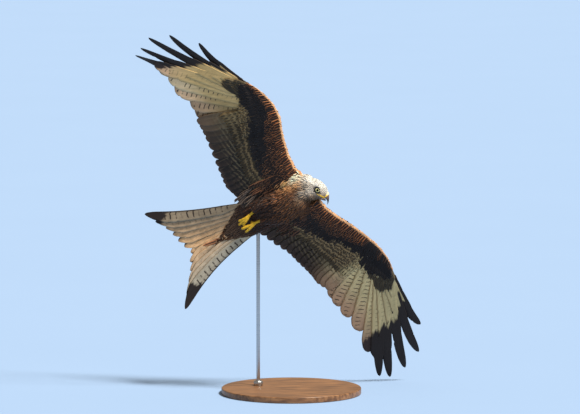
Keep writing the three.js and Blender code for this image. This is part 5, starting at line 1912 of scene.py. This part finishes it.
def make_cere():
    rings = bill_rings(CERE_TOP, CERE_EDGE, CERE_HALF, 56, 96, 0.35)
    rings[-1] = rings[-1].mean(0) + (rings[-1] - rings[-1].mean(0)) * 0.9
    forward, up, left = head_coordinates(rings)
    ahead, above = forward - NOSTRIL[0], up - NOSTRIL[1]
    hole = np.exp(-((ahead / 1.9) ** 4) - (above - 0.3 * ahead) ** 4)
    rings = rings - head_left * (np.sign(left) * hole * 1.4)[..., None]
    parts = [tube(rings)]
    parts += [gape_tube(side, lift) for side in (-1, 1) for lift in (0.85, -0.95)]
    points, corners, sizes = join_tubes(parts)
    obj = make_object("cere_and_gape", points, corners, sizes)
    dark = np.zeros(len(points))
    dark[:hole.size] = hole.ravel()
    set_attribute(obj, "tip", "FLOAT", dark)
    forward, up, _ = head_coordinates(points)
    set_attribute(obj, "pale", "FLOAT", smooth(up, 1.5, 7.0) * 0.9)
    return finish_piece(obj, cere_material(), "cere", "cere")


make_cere()

# Eyes and lids
eye_glass = eye_material()
lid_skin = lid_material()
EYE_RINGS, EYE_SIDES = 48, 64


def eye_axes(side):
    """The eye's middle, the axis it looks along, and the upward and sideways directions round that axis."""
    axis = unit(side * head_left * 0.97 + head_forward * 0.16 + head_up * 0.03)
    upward = unit(head_up - axis * head_up.dot(axis))
    return head_point(0, 0, side * EYE_SIDE), axis, upward, np.cross(axis, upward)


def make_eye(name, side):
    """An eyeball with a slightly raised cornea; reach says how far from the axis a point lies."""
    centre, axis, upward, sideways = eye_axes(side)
    angle = np.linspace(0.015, np.pi - 0.015, EYE_RINGS)
    turn = full_turn(EYE_SIDES)
    radius = EYE_RADIUS * (1 + 0.035 * np.exp(-((angle / 0.45) ** 2)))
    outward = upward * np.cos(turn)[:, None] + sideways * np.sin(turn)[:, None]
    rings = centre + (radius * np.cos(angle))[:, None, None] * axis
    rings = rings + (radius * np.sin(angle))[:, None, None] * outward[None]
    points, corners, sizes = tube(rings)
    obj = make_object(f"eyeball_{name}", points, corners, sizes)
    reach = np.where(angle < np.pi / 2, np.sin(angle), 1.0)
    set_attribute(obj, "reach", "FLOAT", np.concatenate([np.repeat(reach, EYE_SIDES), [0, 1]]))
    rays = np.tile(np.column_stack([np.cos(turn), np.sin(turn), 0 * turn]), (EYE_RINGS, 1))
    set_attribute(obj, "ray", "FLOAT_VECTOR", np.vstack([rays, np.zeros((2, 3))]))
    finish_piece(obj, eye_glass, "eyes", f"eye_{name}")


def make_lid(name, side):
    """A ring of bare skin round the eye, drawn down a little over its top."""
    centre, axis, upward, sideways = eye_axes(side)
    profile = spline([*LID_PROFILE, LID_PROFILE[0]], 28)[:-1]
    rings = []
    for a in full_turn(72):
        hood = max(0.0, math.cos(a)) ** 2
        radius = profile[:, 0] - 0.9 * hood * smooth(profile[:, 0], 9.0, 6.5)
        height = profile[:, 1] + 0.9 * hood * smooth(profile[:, 0], 11.0, 7.0)
        outward = upward * math.cos(a) + sideways * math.sin(a)
        rings.append(centre + axis * height[:, None] + outward * radius[:, None])
    rings = np.array(rings)
    count, sides = rings.shape[:2]
    row, column = np.meshgrid(np.arange(count), np.arange(sides), indexing="ij")
    after, beside = (row + 1) % count, (column + 1) % sides
    quads = [row * sides + column, row * sides + beside, after * sides + beside, after * sides + column]
    corners = np.stack(quads, -1).reshape(-1)
    points, corners, sizes = outward_facing(rings.reshape(-1, 3), corners, np.full(count * sides, 4))
    finish_piece(make_object(f"lid_{name}", points, corners, sizes), lid_skin, "head_plumage")


for name, side in (("right", -1), ("left", 1)):
    make_eye(name, side)
    make_lid(name, side)


# Claws
CLAW_RADII = [2.2, 2.1, 1.4, 0.3]
CLAW_RINGS, CLAW_SIDES = 26, 14


def claw_rings(tip, side):
    """A curved claw from a toe's tip, with its base inside the toe."""
    start = tip + (1.6, 0, 5.6)
    bend = start + (CLAW_LENGTH * 0.4, side, 2)
    point = start + (CLAW_LENGTH * 0.8, side * 2, 0)
    base = start + (start - bend) * 0.22
    return limb_rings([base, start, bend, point], CLAW_RADII, CLAW_RINGS, CLAW_SIDES)


for name, foot in FEET.items():
    rings = [claw_rings(tip, foot["side"]) for tip in foot_tips(foot)]
    points, corners, sizes = join_tubes([tube(r) for r in rings])
    claws = make_object(f"claws_{name}_horn", points, corners, sizes)
    one = np.concatenate([np.repeat(np.linspace(0.3, 1, CLAW_RINGS), CLAW_SIDES), [0.3, 1]])
    set_attribute(claws, "tip", "FLOAT", np.tile(one, len(rings)))
    finish_piece(claws, horn, "horn", *[f"claw_{name}_{k + 1}" for k in range(4)])


# Stand, in metres
BASE_RADIUS, BASE_HEIGHT, BASE_BEVEL = 0.225, 0.020, 0.003
ROD_RADIUS, ROD_TOP, ROD_BEVEL = 0.006, 0.566, 0.001
ROD_AT = (-0.107, 0.042)
COLLAR_RADIUS, COLLAR_HEIGHT = 0.015, 0.016
GAP = 0.0003


def lathe(profile, centre, sides):
    turn = full_turn(sides)
    circle = np.column_stack([np.cos(turn), np.sin(turn), 0 * turn])
    return tube([[centre[0], centre[1], z] + r * circle for r, z in profile])


def rounded(radius, low, high, bevel, steps=5):
    """Profile of a disc with rounded lower and upper edges."""
    a = np.linspace(0, np.pi / 2, steps)
    inner = radius - bevel
    below = [(inner + bevel * math.sin(t), low + bevel - bevel * math.cos(t)) for t in a]
    above = [(inner + bevel * math.cos(t), high - bevel + bevel * math.sin(t)) for t in a]
    flat = [(radius * 0.5, low), (radius - bevel * 1.4, low)]
    return flat + below + above + [(radius - bevel * 1.4, high), (radius * 0.5, high)]


def stand_piece(name, profile, centre, sides, material, slot, node):
    part = make_object(name, *lathe(profile, centre, sides), world=False)
    finish_piece(part, material, slot, node)


wood, steel = wood_material(), steel_material()
low = BASE_HEIGHT + GAP
top = low + COLLAR_HEIGHT
collar_profile = [
    (ROD_RADIUS + GAP, low), (COLLAR_RADIUS - 0.0006, low), (COLLAR_RADIUS, low + 0.0006),
    (COLLAR_RADIUS, top - 0.0046), (COLLAR_RADIUS - 0.0012, top - 0.0015), (COLLAR_RADIUS - 0.0042, top),
    (ROD_RADIUS + GAP, top),
]
base_profile = rounded(BASE_RADIUS, 0, BASE_HEIGHT, BASE_BEVEL)
rod_profile = rounded(ROD_RADIUS, low, ROD_TOP, ROD_BEVEL)
stand_piece("base_disc", base_profile, (0, 0), 160, wood, "stand_wood", "stand_base")
stand_piece("steel_rod", rod_profile, ROD_AT, 40, steel, "stand_steel", "stand_rod")
stand_piece("steel_collar", collar_profile, ROD_AT, 48, steel, "stand_steel", "stand_collar")

# Floor and light
FLOOR_HALF = 120.0
floor_points = np.array([(-1, -1, 0), (1, -1, 0), (1, 1, 0), (-1, 1, 0)]) * FLOOR_HALF
floor = make_object("floor", floor_points, np.arange(4), np.array([4]), world=False)
floor.data.materials.append(floor_material())

SUN_FROM = Vector((0.45, -0.33, 0.83))
SUN_COLOUR, SUN_ENERGY, SUN_ANGLE = (1.0, 0.94, 0.85), 6.2, rad(14)
SKY_COLOUR, SKY_STRENGTH = (1.0, 0.90, 0.76, 1), 0.34
sun = bpy.data.objects.new("sun", bpy.data.lights.new("sun", "SUN"))
bpy.context.scene.collection.objects.link(sun)
sun.rotation_euler = SUN_FROM.to_track_quat("Z", "Y").to_euler()
sun.data.energy = SUN_ENERGY
sun.data.angle = SUN_ANGLE
sun.data.color = SUN_COLOUR

world = bpy.data.worlds.new("studio")
bpy.context.scene.world = world
world.use_nodes = True
background = world.node_tree.nodes["Background"]
background.inputs["Color"].default_value = SKY_COLOUR
background.inputs["Strength"].default_value = SKY_STRENGTH
bpy.context.scene.view_settings.view_transform = "Standard"
